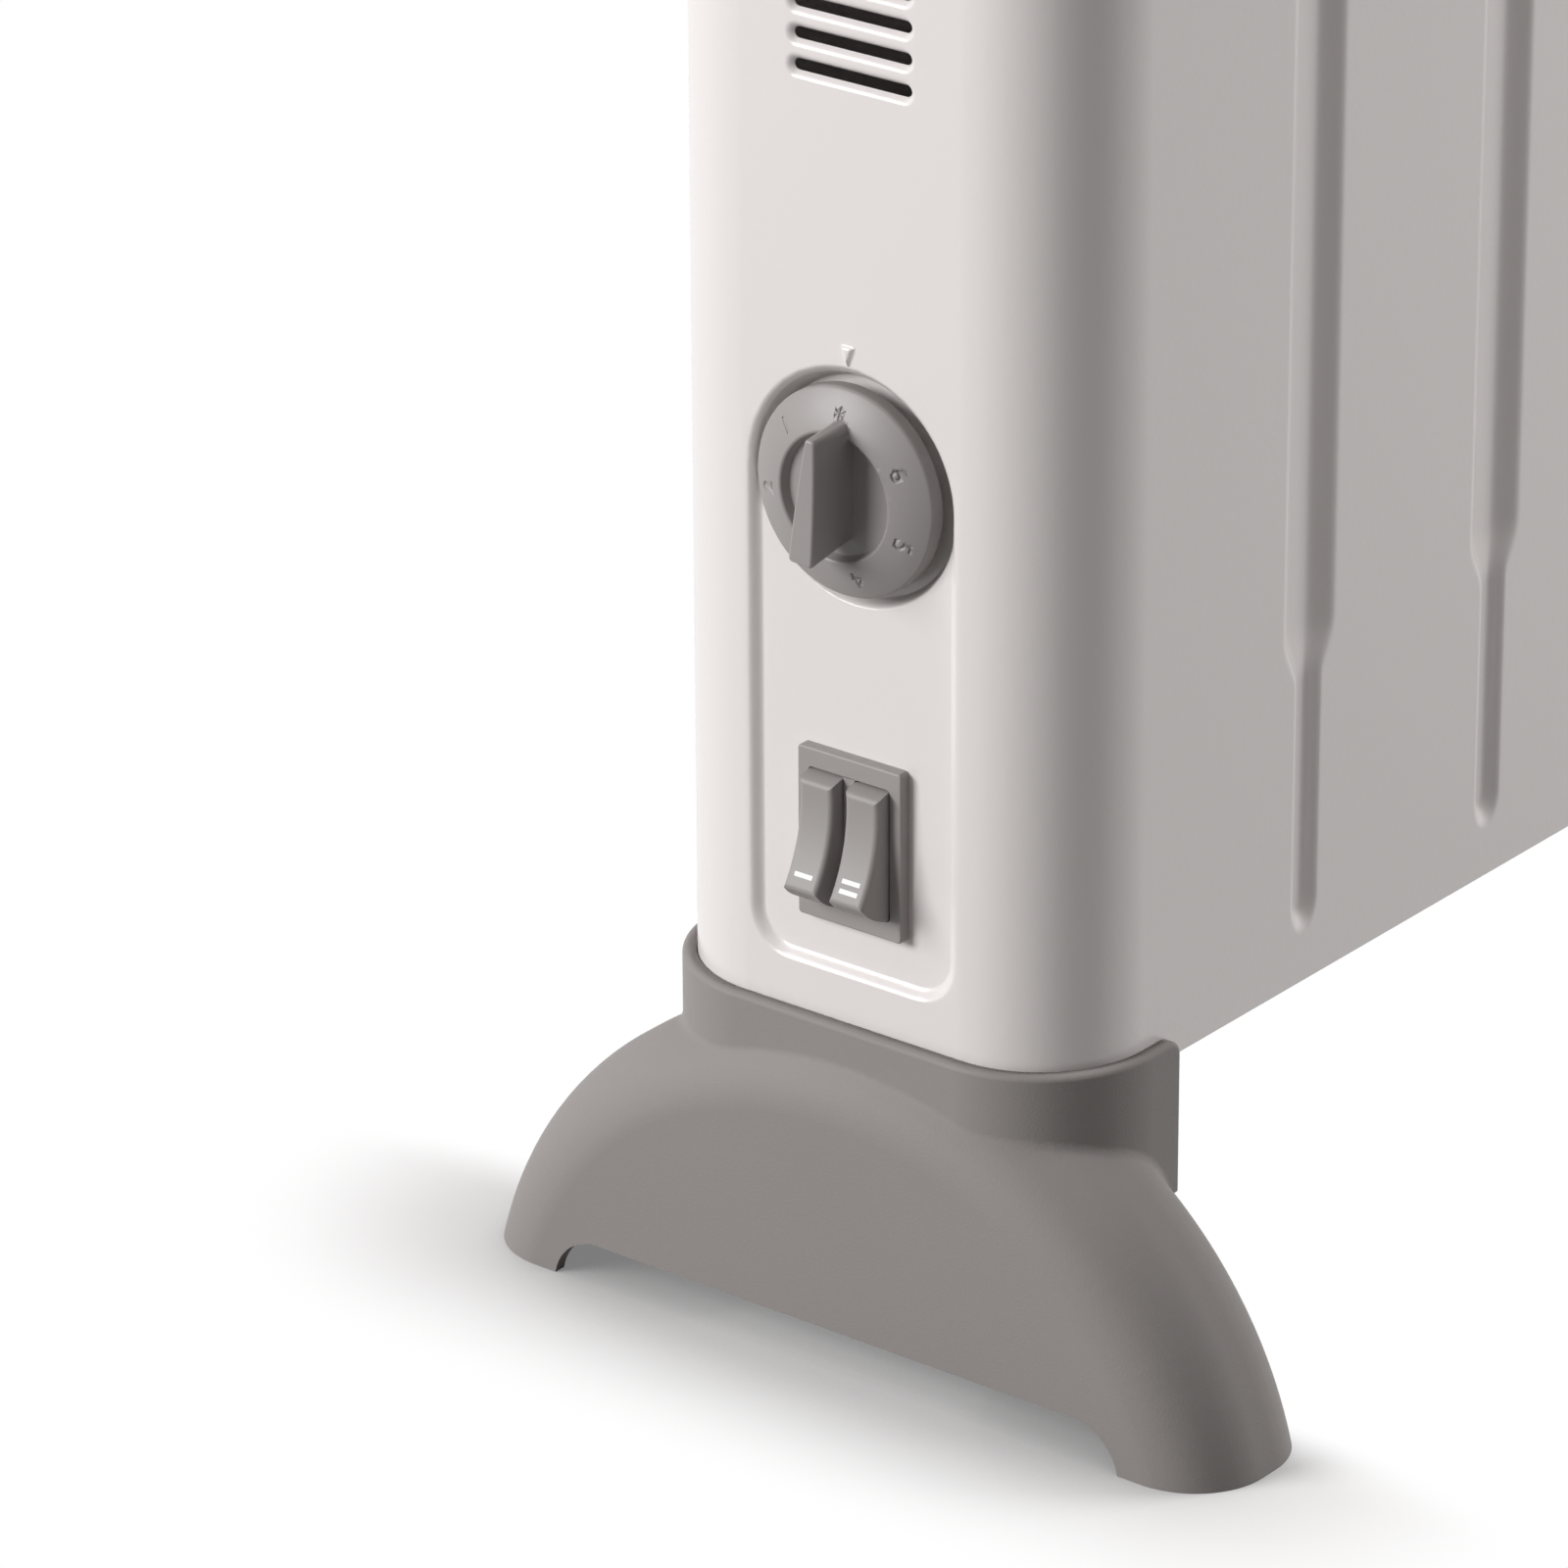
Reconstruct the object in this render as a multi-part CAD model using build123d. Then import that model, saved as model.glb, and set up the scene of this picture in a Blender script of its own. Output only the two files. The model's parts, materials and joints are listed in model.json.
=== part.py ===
from build123d import *
import math
import os

# Free-standing electric convector heater, in millimetres.
# Origin on the floor under the middle of the case, +Z up, control end at -X, front at -Y.

# Case
case_length = 726.0
case_depth = 112.0
case_bottom = 74.0
case_height = 366.0
corner_radius = 27.0
top_bend_radius = 14.0
sheet = 1.0
fit = 0.3

# Pressed grooves of the long panels
groove_count = 9
groove_from_end = 85.5
groove_overshoot = 0.4
groove_low = 11.5
groove_step = 74.0
groove_top_gap = 36.0
wide_floor = 7.0
wide_run = 5.8
wide_depth = 3.6
narrow_floor = 3.0
narrow_run = 3.1
narrow_depth = 2.2

# Rear panel and the flange that it is screwed to
rear_side_margin = 33.0
rear_top_margin = 20.0
seam_gap = 0.5
flange_overlap = 12.0
gland_from_end = 62.0
gland_height = 34.0

# Outlet grille in the top, intake tray in the bottom
top_margin = 18.0
ledge_drop = 2.0
ledge_width = 5.0
outlet_slot_width = 5.0
outlet_slot_pitch = 9.6
outlet_slot_margin = 7.0
outlet_spine = 8.0
clip_count = 4
clip_width = 10.0
clip_height = 7.0
clip_barb = 1.2
tray_flange = 7.0
intake_slot_width = 6.0
intake_slot_pitch = 13.0
intake_slot_length = 36.0
intake_row_offset = 23.0
intake_reach = 560.0

# Control end: recess, dial well, louvre slots, pointer
recess_half_width = 25.0
recess_run = 2.0
recess_depth = 2.0
recess_low = 18.1
recess_corner = 8.0
recess_arc_drop = 0.5
knob_height = 127.1
well_land = 0.6
well_depth = 3.2
well_run = 0.9
louvre_count = 9
louvre_low = 216.2
louvre_pitch = 6.77
louvre_length = 30.0
louvre_height = 2.5
pointer_height = 156.3
pointer_offset = 0.5
pointer_width = 3.2
pointer_length = 4.6
pointer_rise = 0.8

# Thermostat knob
dial_gap = 0.5
dial_rim = 1.9
dial_crown = 5.9
dial_bulge = 0.5
dial_back = 1.2
dial_edge_round = 1.2
dish_radius = 14.0
dish_depth = 2.2
dish_wall_run = 0.9
dish_lip_round = 0.7
socket_top = 4.4
grip_length = 28.4
grip_tip_width = 2.4
grip_belly_width = 4.8
grip_tail_width = 6.2
grip_draft = 1.1
grip_undercut = 3.0
grip_rise = 15.6
grip_lean = 5.5
grip_shift = 1.8
grip_corner_share = 0.8
grip_edge_round = 0.7

# Thermostat behind the well
shaft_radius = 3.0
running_fit = 0.06
bush_wall = 1.8
plate_width = 44.0
plate_height = 24.0
plate_thickness = 1.5
block_width = 32.0
block_height = 22.0
block_depth = 17.0
thermostat_screw_spread = 14.0
bimetal_length = 40.0
bimetal_width = 9.0
bimetal_thickness = 1.0
shaft_tail = 3.0

# Twin rocker switch
switch_height = 47.4
bezel_width = 27.4
bezel_height = 38.8
bezel_rise = 2.8
bezel_bevel = 0.5
bezel_corner = 0.9
window_corner = 1.0
rocker_width = 8.9
rocker_side_gap = 0.3
rocker_pitch = 12.1
rocker_radius = 14.8
rocker_half_angle = 51.0
rocker_tilt = 14.0
pivot_rise = 0.4
switch_row_pitch = 9.0
rocker_end_gap = 0.35
rocker_dish = 2.0
rocker_keel = 1.6
rocker_edge_round = 1.3
pin_radius = 1.2
pin_reach = 0.9
switch_body_wall = 1.6
switch_body_depth = 24.0
rocker_well_depth = 9.0

# Connector spades
spade_width = 6.3
spade_thickness = 0.8
spade_length = 8.0

# Feet
foot_proud = 8.0
foot_thickness = 41.0
foot_half_spread = 101.0
foot_arch_top = 76.2
foot_top_radius = 110.0
foot_shoulder = 50.0
foot_round = 18.0
foot_wall = 3.0
foot_gap_half = 76.5
foot_gap_corner = 12.0
foot_gap_height = 10.0
foot_seat = 4.0
collar_rise = 5.6
collar_drop = 30.0
collar_spare = 1.0
collar_rim_round = 1.2
collar_end_round = 3.5
foot_blend = 3.0
foot_screw_inset = 15.0
foot_screw_spread = 17.0

# Inside: bulkhead, far bracket, heat shields, elements
plate_gauge = 1.2
bulkhead_from_end = 91.0
bulkhead_top_gap = 12.0
bracket_from_end = 40.0
shield_half_span = 47.0
shield_gauge = 0.8
shield_low = 12.0
shield_high = 236.0
side_flange = 12.0
foot_flange = 14.0
element_spread = 23.0
element_height = 58.0
element_reach = 21.0
element_fin = 1.8
element_core = 6.2
element_end_gap = 9.0
rod_radius = 4.0
stud_radius = 2.0
stud_length = 9.0
stud_shoulder = 3.0
bush_sleeve = 5.0
bush_outer = 8.0
bush_flange = 11.0
bush_flange_thickness = 3.0
cutout_height = 150.0
cutout_radius = 8.0
cutout_depth = 9.0
terminal_length = 44.0
terminal_height_size = 18.0
terminal_depth = 16.0
terminal_block_height = 24.0
terminal_block_side = 24.0
terminal_seat = 5.0

# Fasteners, gland and wires
screw_radius = 1.7
screw_head_radius = 3.6
screw_head = 2.0
screw_length = 7.0
short_screw = 4.5
screw_slot = 1.0
screw_play = 0.1
rear_screw_low = 46.0
rear_screw_top_gap = 40.0
rear_bottom_screw_steps = (-3.5, -1.5, 1.5, 3.5)
rear_bottom_screw_height = 4.4
gland_bore = 4.0
gland_thread = 6.0
gland_flange = 10.0
gland_flange_thickness = 4.0
gland_nut = 9.0
gland_nut_thickness = 4.0
gland_tail = 8.0
wire_radius = 1.3
wire_bend = 7.0
wire_run = 14.0
earth_rise = 34.0
return_wire_rise = 12.0
link_height = 10.0

# Places worked out from the sizes above
case_top = case_bottom + case_height
groove_pitch = (case_length - 2 * groove_from_end) / (groove_count - 1)
end_x = case_length / 2
knob_z = case_bottom + knob_height
switch_z = case_bottom + switch_height
recess_floor = -recess_depth
well_floor = recess_floor - well_depth
well_inner = well_floor - sheet
well_radius = recess_half_width - well_land
dial_radius = well_radius - well_run - dial_gap
collar_reach = foot_thickness - foot_proud + foot_blend + collar_spare
tray_top = case_bottom + plate_gauge
bulkhead_x = -end_x + bulkhead_from_end
bracket_x = end_x - bracket_from_end
element_z = case_bottom + element_height
rear_half_opening = end_x - rear_side_margin
rear_opening_top = case_top - rear_top_margin
hole_radius = screw_radius + screw_play

# Local frames that look at a face from outside: x to the right, y up, z outwards
control_face = Plane(origin=(-end_x, 0, 0), x_dir=(0, -1, 0), z_dir=(-1, 0, 0))
front_face = Plane(origin=(0, -case_depth / 2, 0), x_dir=(1, 0, 0), z_dir=(0, -1, 0))
rear_face = Plane(origin=(0, case_depth / 2, 0), x_dir=(-1, 0, 0), z_dir=(0, 1, 0))


def case_prism(inset, low, high):
    plan = RectangleRounded(case_length - 2 * inset, case_depth - 2 * inset, corner_radius - inset)
    return Pos(0, 0, low) * extrude(plan, high - low)


def block(x_low, x_high, y_low, y_high, z_low, z_high):
    size = (x_high - x_low, y_high - y_low, z_high - z_low)
    middle = ((x_low + x_high) / 2, (y_low + y_high) / 2, (z_low + z_high) / 2)
    return Pos(*middle) * Box(*size)


def rod_along_x(radius, x_low, x_high, y, z):
    return Pos((x_low + x_high) / 2, y, z) * Rot(0, 90, 0) * Cylinder(radius, x_high - x_low)


def rod_along_z(radius, low, high, x=0.0, y=0.0):
    return Pos(x, y, (low + high) / 2) * Cylinder(radius, high - low)


def slot_pressing(floor_width, run, depth, low, high, grow, overshoot):
    # One sloping-sided slot pressed into a panel, in the panel's own frame.
    layers = []
    for level in (overshoot, -depth):
        spread = run * (1 + level / depth) + grow
        width = floor_width + 2 * spread
        length = high - low - 2 * run + 2 * spread
        layer_level = level if level > 0 else level - grow
        layers.append(Pos(0, (low + high) / 2, layer_level) * SlotOverall(length, width, rotation=90))
    return loft(layers, ruled=True)


def groove(grow, overshoot):
    wide = slot_pressing(
        wide_floor, wide_run, wide_depth,
        case_bottom + groove_step, case_top - groove_top_gap, grow, overshoot)
    narrow = slot_pressing(
        narrow_floor, narrow_run, narrow_depth,
        case_bottom + groove_low, case_bottom + groove_step + wide_floor + 2 * wide_run, grow, overshoot)
    return wide + narrow


def groove_places():
    first = -groove_pitch * (groove_count - 1) / 2
    return [first + index * groove_pitch for index in range(groove_count)]


def press_grooves(panel, face):
    behind = groove(sheet, groove_overshoot)
    cut = groove(0, groove_overshoot)
    outside = face * Pos(0, case_bottom + case_height / 2, groove_overshoot) * Box(
        case_length, case_height, 2 * groove_overshoot)
    panel = panel + [face * Pos(place, 0, 0) * behind - outside for place in groove_places()]
    return panel - [face * Pos(place, 0, 0) * cut for place in groove_places()]


def recess_layer(spread, level):
    # Outline of the control recess: straight sides, round top about the dial, round lower corners.
    half = recess_half_width + spread
    low = case_bottom + recess_low - spread
    centre = knob_z - recess_arc_drop
    corner = recess_corner + spread
    top = ThreePointArc((-half, centre), (0, centre + half), (half, centre))
    right = Line((half, centre), (half, low + corner))
    right_corner = TangentArc((half, low + corner), (half - corner, low), tangent=(0, -1))
    base = Line((half - corner, low), (corner - half, low))
    left_corner = TangentArc((corner - half, low), (-half, low + corner), tangent=(-1, 0))
    left = Line((-half, low + corner), (-half, centre))
    outline = make_face(Curve() + [top, right, right_corner, base, left_corner, left])
    return Pos(0, 0, level) * outline


def recess_pressing(grow, overshoot):
    slope = recess_run / recess_depth
    outer = recess_layer(recess_run + slope * overshoot + grow, overshoot)
    inner = recess_layer(grow, recess_floor - grow)
    return loft([outer, inner], ruled=True)


def well_pressing(grow, overshoot):
    top_radius = well_radius + well_run * overshoot / well_depth + grow
    outer = Pos(0, knob_z, recess_floor + overshoot) * Circle(top_radius)
    inner = Pos(0, knob_z, well_floor - grow) * Circle(well_radius - well_run + grow)
    return loft([outer, inner], ruled=True)


def press_controls(shell):
    behind = recess_pressing(sheet, 0) + well_pressing(sheet, 0)
    cut = recess_pressing(0, groove_overshoot) + well_pressing(0, groove_overshoot)
    shell += control_face * behind
    shell -= control_face * cut
    shell -= control_face * Pos(0, knob_z, well_floor) * Cylinder(
        shaft_radius + running_fit + bush_wall + fit, 4 * sheet)
    for side in (-1, 1):
        place = Pos(side * thermostat_screw_spread, knob_z, well_floor)
        shell -= control_face * place * Cylinder(hole_radius, 4 * sheet)
    shell -= control_face * Pos(0, switch_z, recess_floor) * Box(
        switch_body_width() + 2 * fit, switch_body_tall() + 2 * fit, 4 * sheet)
    louvre = extrude(SlotOverall(louvre_length, louvre_height), 3 * sheet)
    heights = [case_bottom + louvre_low + index * louvre_pitch for index in range(louvre_count)]
    shell = shell - [control_face * Pos(0, height, -2 * sheet) * louvre for height in heights]
    return shell + pointer_mark()


def pointer_mark():
    wide = pointer_width / 2
    outline = make_face(Polyline(
        (-wide, pointer_length / 2), (wide, pointer_length / 2), (0, -pointer_length / 2), close=True))
    place = control_face * Pos(-pointer_offset, case_bottom + pointer_height, 0)
    return place * extrude(outline, pointer_rise)


def top_opening_plan(grow):
    length = case_length - 2 * top_margin + 2 * grow
    depth = case_depth - 2 * top_margin + 2 * grow
    return RectangleRounded(length, depth, corner_radius - top_margin + grow)


def case_with_top_frame():
    outer = case_prism(0, case_bottom, case_top)
    outer = fillet(outer.faces().sort_by(Axis.Z)[-1].edges(), top_bend_radius)
    inner = case_prism(sheet, case_bottom - sheet, case_top - sheet)
    inner = fillet(inner.faces().sort_by(Axis.Z)[-1].edges(), top_bend_radius - sheet)
    shell = outer - inner
    drop = case_top - sheet - ledge_drop - sheet
    wall = Pos(0, 0, drop) * extrude(top_opening_plan(sheet), case_top - drop)
    shell += wall
    shell -= Pos(0, 0, drop + sheet) * extrude(top_opening_plan(0), case_top - drop)
    shell -= Pos(0, 0, drop - sheet) * extrude(top_opening_plan(-ledge_width), case_top - drop)
    return shell


def rear_flange():
    # Sunk rim behind the rear panel, carried by the case around the rear opening.
    outer_y = case_depth / 2 - sheet
    inner_y = outer_y - sheet
    low = case_bottom + plate_gauge + tray_flange + 2 * fit
    half = rear_half_opening + flange_overlap / 2
    frame = block(-half, half, inner_y, outer_y, low, rear_opening_top + flange_overlap / 2)
    clear_half = rear_half_opening - flange_overlap
    frame -= block(-clear_half, clear_half, inner_y - sheet, outer_y + sheet, low - sheet,
                   rear_opening_top - flange_overlap)
    return frame


def rear_screw_places():
    sides = rear_half_opening - flange_overlap / 2
    low = case_bottom + rear_screw_low
    high = case_top - rear_screw_top_gap
    places = [(side * sides, up) for side in (-1, 1) for up in (low, (low + high) / 2, high)]
    low_edge = case_bottom + rear_bottom_screw_height
    return places + [(step * groove_pitch, low_edge) for step in rear_bottom_screw_steps]


def rear_screw_holes():
    return [Pos(x, case_depth / 2, z) * Rot(90, 0, 0) * Cylinder(hole_radius, 8 * sheet)
            for x, z in rear_screw_places()]


def front_shell():
    shell = press_grooves(case_with_top_frame(), front_face)
    shell = press_controls(shell)
    shell -= block(-rear_half_opening, rear_half_opening, case_depth / 2 - sheet - fit, case_depth,
                   case_bottom - sheet, rear_opening_top)
    shell += rear_flange()
    return shell - rear_screw_holes()


def gland_place():
    return end_x - gland_from_end, case_bottom + gland_height


def rear_panel():
    half = rear_half_opening - seam_gap
    panel = block(-half, half, case_depth / 2 - sheet, case_depth / 2,
                  case_bottom, rear_opening_top - seam_gap)
    panel = press_grooves(panel, rear_face)
    gland_hole = rear_face * Pos(*gland_place(), 0) * Cylinder(gland_thread + fit, 8 * sheet)
    return panel - [gland_hole] - rear_screw_holes()


def top_grille():
    # Slotted outlet plate that drops on the ledge, with spring clips under the ledge.
    low = case_top - sheet - ledge_drop
    plate = Pos(0, 0, low) * extrude(top_opening_plan(-fit), sheet)
    length = case_length - 2 * top_margin
    slot = (case_depth - 2 * top_margin - outlet_spine) / 2 - outlet_slot_margin
    cut = extrude(SlotOverall(slot, outlet_slot_width, rotation=90), sheet)
    row = slot_row(length - 2 * corner_radius, outlet_slot_pitch)
    side_y = (outlet_spine + slot) / 2
    plate = plate - [Pos(x, y, low) * cut for x in row for y in (-side_y, side_y)]
    return plate + outlet_clips(low)


def slot_row(reach, pitch):
    count = int(reach / pitch)
    return [(index - (count - 1) / 2) * pitch for index in range(count)]


def outlet_clips(low):
    clips = []
    inner_edge = case_depth / 2 - top_margin - ledge_width
    step = (case_length - 2 * top_margin) / clip_count
    for index in range(clip_count):
        x = (index - (clip_count - 1) / 2) * step
        for side in (-1, 1):
            leg_out = side * (inner_edge - fit)
            leg_in = side * (inner_edge - fit - sheet)
            barb_out = side * (inner_edge + clip_barb)
            y_leg = sorted((leg_in, leg_out))
            y_barb = sorted((leg_in, barb_out))
            leg = block(x - clip_width / 2, x + clip_width / 2, *y_leg, low - clip_height, low)
            barb_top = low - sheet - fit
            barb = block(x - clip_width / 2, x + clip_width / 2, *y_barb, barb_top - sheet, barb_top)
            clips.append(leg + barb)
    return clips


def foot_screw_places():
    x = end_x - foot_screw_inset
    return [(side_x * x, side_y * foot_screw_spread) for side_x in (-1, 1) for side_y in (-1, 1)]


def tray_screw_places():
    bulkhead_screw = bulkhead_x - foot_flange / 2
    bracket_screw = bracket_x - foot_flange / 2
    return [(x, side * foot_screw_spread) for x in (bulkhead_screw, bracket_screw) for side in (-1, 1)]


def base_tray():
    # Slotted intake plate with a rim turned up inside the case.
    outer = case_prism(sheet + fit, case_bottom, tray_top + tray_flange)
    tray = outer - case_prism(sheet + fit + plate_gauge, tray_top, tray_top + 2 * tray_flange)
    cut = extrude(SlotOverall(intake_slot_length, intake_slot_width, rotation=90), plate_gauge)
    row = slot_row(intake_reach, intake_slot_pitch)
    sides = (-intake_row_offset, intake_row_offset)
    holes = [Pos(x, y, case_bottom) * cut for x in row for y in sides]
    holes += [rod_along_z(hole_radius, case_bottom - sheet, tray_top + sheet, x, y)
              for x, y in foot_screw_places() + tray_screw_places()]
    return tray - holes - rear_screw_holes()


def arch_outline(inset, notched):
    # End view of a foot: a flat crown running into two round shoulders, open below.
    crown = foot_arch_top - inset
    radius = foot_top_radius - inset
    lean = math.asin(foot_shoulder / foot_top_radius)
    joint_y = radius * math.sin(lean)
    joint_z = crown - radius * (1 - math.cos(lean))
    spread = foot_half_spread - inset
    tangent = (math.cos(lean), -math.sin(lean))
    curves = [ThreePointArc((-joint_y, joint_z), (0, crown), (joint_y, joint_z))]
    curves.append(TangentArc((joint_y, joint_z), (spread, 0), tangent=tangent))
    curves.append(TangentArc((-joint_y, joint_z), (-spread, 0), tangent=(-tangent[0], tangent[1])))
    if notched:
        flat = foot_gap_half - foot_gap_corner
        curves.append(Line((-flat, foot_gap_height), (flat, foot_gap_height)))
        for side in (-1, 1):
            curves.append(Line((side * spread, 0), (side * foot_gap_half, 0)))
            curves.append(TangentArc(
                (side * flat, foot_gap_height), (side * foot_gap_half, 0), tangent=(side, 0)))
    else:
        curves.append(Line((-spread, 0), (spread, 0)))
    return make_face(Curve() + curves)


def arch_body(inset, notched, round_radius):
    start = -end_x - foot_proud + inset
    body = extrude(Plane.YZ.offset(start) * arch_outline(inset, notched), foot_thickness - 2 * inset)
    long_arcs = [edge for edge in body.edges().filter_by(GeomType.CIRCLE) if edge.length > foot_shoulder / 2]
    return fillet(long_arcs, round_radius)


def seam_edges(foot, arch, collar):
    # Edges where the arch runs into the upright wall of the collar.
    old_edges = arch.edges() + collar.edges()
    lowest = case_bottom - collar_drop + running_fit
    seam = []
    for edge in foot.edges():
        middle = edge.position_at(0.5)
        apart = min(old_edge.distance_to(middle) for old_edge in old_edges)
        if apart > running_fit and middle.Z > lowest:
            seam.append(edge)
    return seam


def control_foot():
    # Hollow moulding: a bulging arch with a collar that holds the end of the case.
    seat_low = case_bottom - foot_seat
    collar_top = case_bottom + collar_rise
    collar_end = -end_x + collar_reach
    collar = case_prism(-fit - foot_wall, case_bottom - collar_drop, collar_top)
    collar &= block(-case_length, collar_end, -case_depth, case_depth, 0, case_top)
    cross_edges = collar.edges().filter_by(Axis.Y).group_by(Axis.Z)[-1]
    collar = fillet(cross_edges.sort_by(Axis.X)[-1], collar_end_round)
    rim = collar.faces().sort_by(Axis.Z)[-1].edges().sort_by(Axis.X)[:-1]
    collar = fillet(rim, collar_rim_round)
    arch = arch_body(0, True, foot_round)
    foot = arch + collar
    foot = fillet(seam_edges(foot, arch, collar), foot_blend)
    hollow = arch_body(foot_wall, False, foot_round - foot_wall)
    hollow &= block(-case_length, 0, -case_length, case_length, -sheet, seat_low)
    pocket = case_prism(-fit, case_bottom, case_top)
    foot -= hollow
    foot -= pocket
    for x, y in foot_screw_places():
        foot -= rod_along_z(hole_radius, seat_low - sheet, case_bottom + sheet, x, y)
    return foot


def bar_outline(grow, undercut):
    # Grip bar seen from the front: narrow tip up, wider tail down, cut back at its root under the tail.
    tip = grip_tip_width / 2 + grow
    belly = grip_belly_width / 2 + grow
    tail = grip_tail_width / 2 + grow
    top = grip_length / 2 + grow
    low = undercut - grip_length / 2
    right = ThreePointArc((tail, low), (belly, 0), (tip, top))
    left = ThreePointArc((-tip, top), (-belly, 0), (-tail, low))
    ends = [Line((tip, top), (-tip, top)), Line((-tail, low), (tail, low))]
    bar = make_face(Curve() + [right, left] + ends)
    return fillet(bar.vertices(), tip * grip_corner_share)


def ring_edges(body, level):
    rings = body.edges().filter_by(GeomType.CIRCLE)
    return [edge for edge in rings if abs(edge.center().Z - level) < running_fit]


def thermostat_knob():
    # Domed dial, dished in the middle, with a grip bar across the dish, in the control face's frame.
    dish_floor = dial_crown - dish_depth
    slope_middle = ((dial_radius + dish_radius) / 2, (dial_rim + dial_crown) / 2 + dial_bulge)
    floor_radius = dish_radius - dish_wall_run
    back = Polyline((0, dish_floor), (0, -dial_back), (dial_radius, -dial_back), (dial_radius, dial_rim))
    slope = ThreePointArc((dial_radius, dial_rim), slope_middle, (dish_radius, dial_crown))
    dish = Polyline((dish_radius, dial_crown), (floor_radius, dish_floor), (0, dish_floor))
    dial = revolve(Plane.XZ * make_face(Curve() + [back, slope, dish]), Axis.Z)
    dial = fillet(ring_edges(dial, dial_rim), dial_edge_round)
    dial = fillet(ring_edges(dial, dial_crown), dish_lip_round)
    bar_foot = dish_floor - fit
    bar = loft([Pos(0, 0, bar_foot) * bar_outline(grip_draft, grip_undercut),
                Pos(0, 0, grip_rise) * bar_outline(0, 0)], ruled=True)
    bar = fillet(bar.faces().sort_by(Axis.Z)[-1].edges(), grip_edge_round)
    knob = dial + Rot(0, 0, -grip_lean) * Pos(0, grip_shift, 0) * bar
    knob -= rod_along_z(shaft_radius, -dial_back, socket_top)
    return control_face * Pos(0, knob_z, 0) * knob


def thermostat_shaft():
    low = well_inner - plate_thickness - shaft_tail
    return control_face * Pos(0, knob_z, 0) * rod_along_z(shaft_radius, low, socket_top)


def thermostat_frame():
    # Steel plate screwed behind the well, with the bush that the shaft turns in.
    low = well_inner - plate_thickness
    plate = Pos(0, 0, (low + well_inner) / 2) * Box(plate_width, plate_height, plate_thickness)
    bush_top = well_floor + screw_head - fit
    plate += rod_along_z(shaft_radius + running_fit + bush_wall, low, bush_top)
    plate -= rod_along_z(shaft_radius + running_fit, low - sheet, bush_top + sheet)
    for side in (-1, 1):
        plate -= rod_along_z(hole_radius, low - sheet, well_inner + sheet, side * thermostat_screw_spread)
    return control_face * Pos(0, knob_z, 0) * plate


def thermostat_block():
    top = well_inner - plate_thickness
    body = Pos(0, 0, top - block_depth / 2) * Box(block_width, block_height, block_depth)
    body = fillet(body.edges().filter_by(Axis.Z), 2 * sheet)
    body -= rod_along_z(shaft_radius + fit, top - shaft_tail - fit, top + sheet)
    for side in (-1, 1):
        body -= rod_along_z(hole_radius, top - screw_length, top + sheet, side * thermostat_screw_spread)
    return control_face * Pos(0, knob_z, 0) * body


def bimetal_strip():
    # Temperature-sensing strip standing under the thermostat block.
    top = well_inner - plate_thickness - block_depth / 2
    strip = Pos(0, -block_height / 2 - bimetal_length / 2, top) * Box(
        bimetal_width, bimetal_length, bimetal_thickness)
    return control_face * Pos(0, knob_z, 0) * strip


def spade(x, y, level):
    return Pos(x, y, level - spade_length / 2) * Box(spade_thickness, spade_width, spade_length)


def thermostat_spade_level():
    return well_inner - plate_thickness - block_depth


def thermostat_terminals():
    level = thermostat_spade_level()
    return [control_face * Pos(0, knob_z, 0) * spade(side * block_width / 4, 0, level) for side in (-1, 1)]


def window_width():
    return rocker_width + 2 * rocker_side_gap


def window_tall():
    return 2 * (rocker_radius + rocker_end_gap)


def switch_body_width():
    return rocker_pitch + window_width() + 2 * switch_body_wall


def switch_body_tall():
    return window_tall() + 2 * switch_body_wall


def switch_housing():
    front = recess_floor + bezel_rise
    bezel = Pos(0, 0, (front + recess_floor) / 2) * extrude(
        RectangleRounded(bezel_width, bezel_height, bezel_corner), bezel_rise / 2, both=True)
    bezel = fillet(bezel.faces().sort_by(Axis.Z)[-1].edges(), bezel_bevel)
    body = Pos(0, 0, recess_floor - switch_body_depth / 2) * Box(
        switch_body_width(), switch_body_tall(), switch_body_depth)
    housing = bezel + body
    pivot = recess_floor + pivot_rise
    for side in (-1, 1):
        x = side * rocker_pitch / 2
        floor = pivot - rocker_well_depth
        window = RectangleRounded(window_width(), window_tall(), window_corner)
        housing -= Pos(x, 0, floor) * extrude(window, front + sheet - floor)
        hole_length = window_width() + 2 * (pin_reach + fit)
        housing -= Pos(x, 0, pivot) * Rot(0, 90, 0) * Cylinder(pin_radius + running_fit, hole_length)
    return control_face * Pos(0, switch_z, 0) * housing


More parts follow.
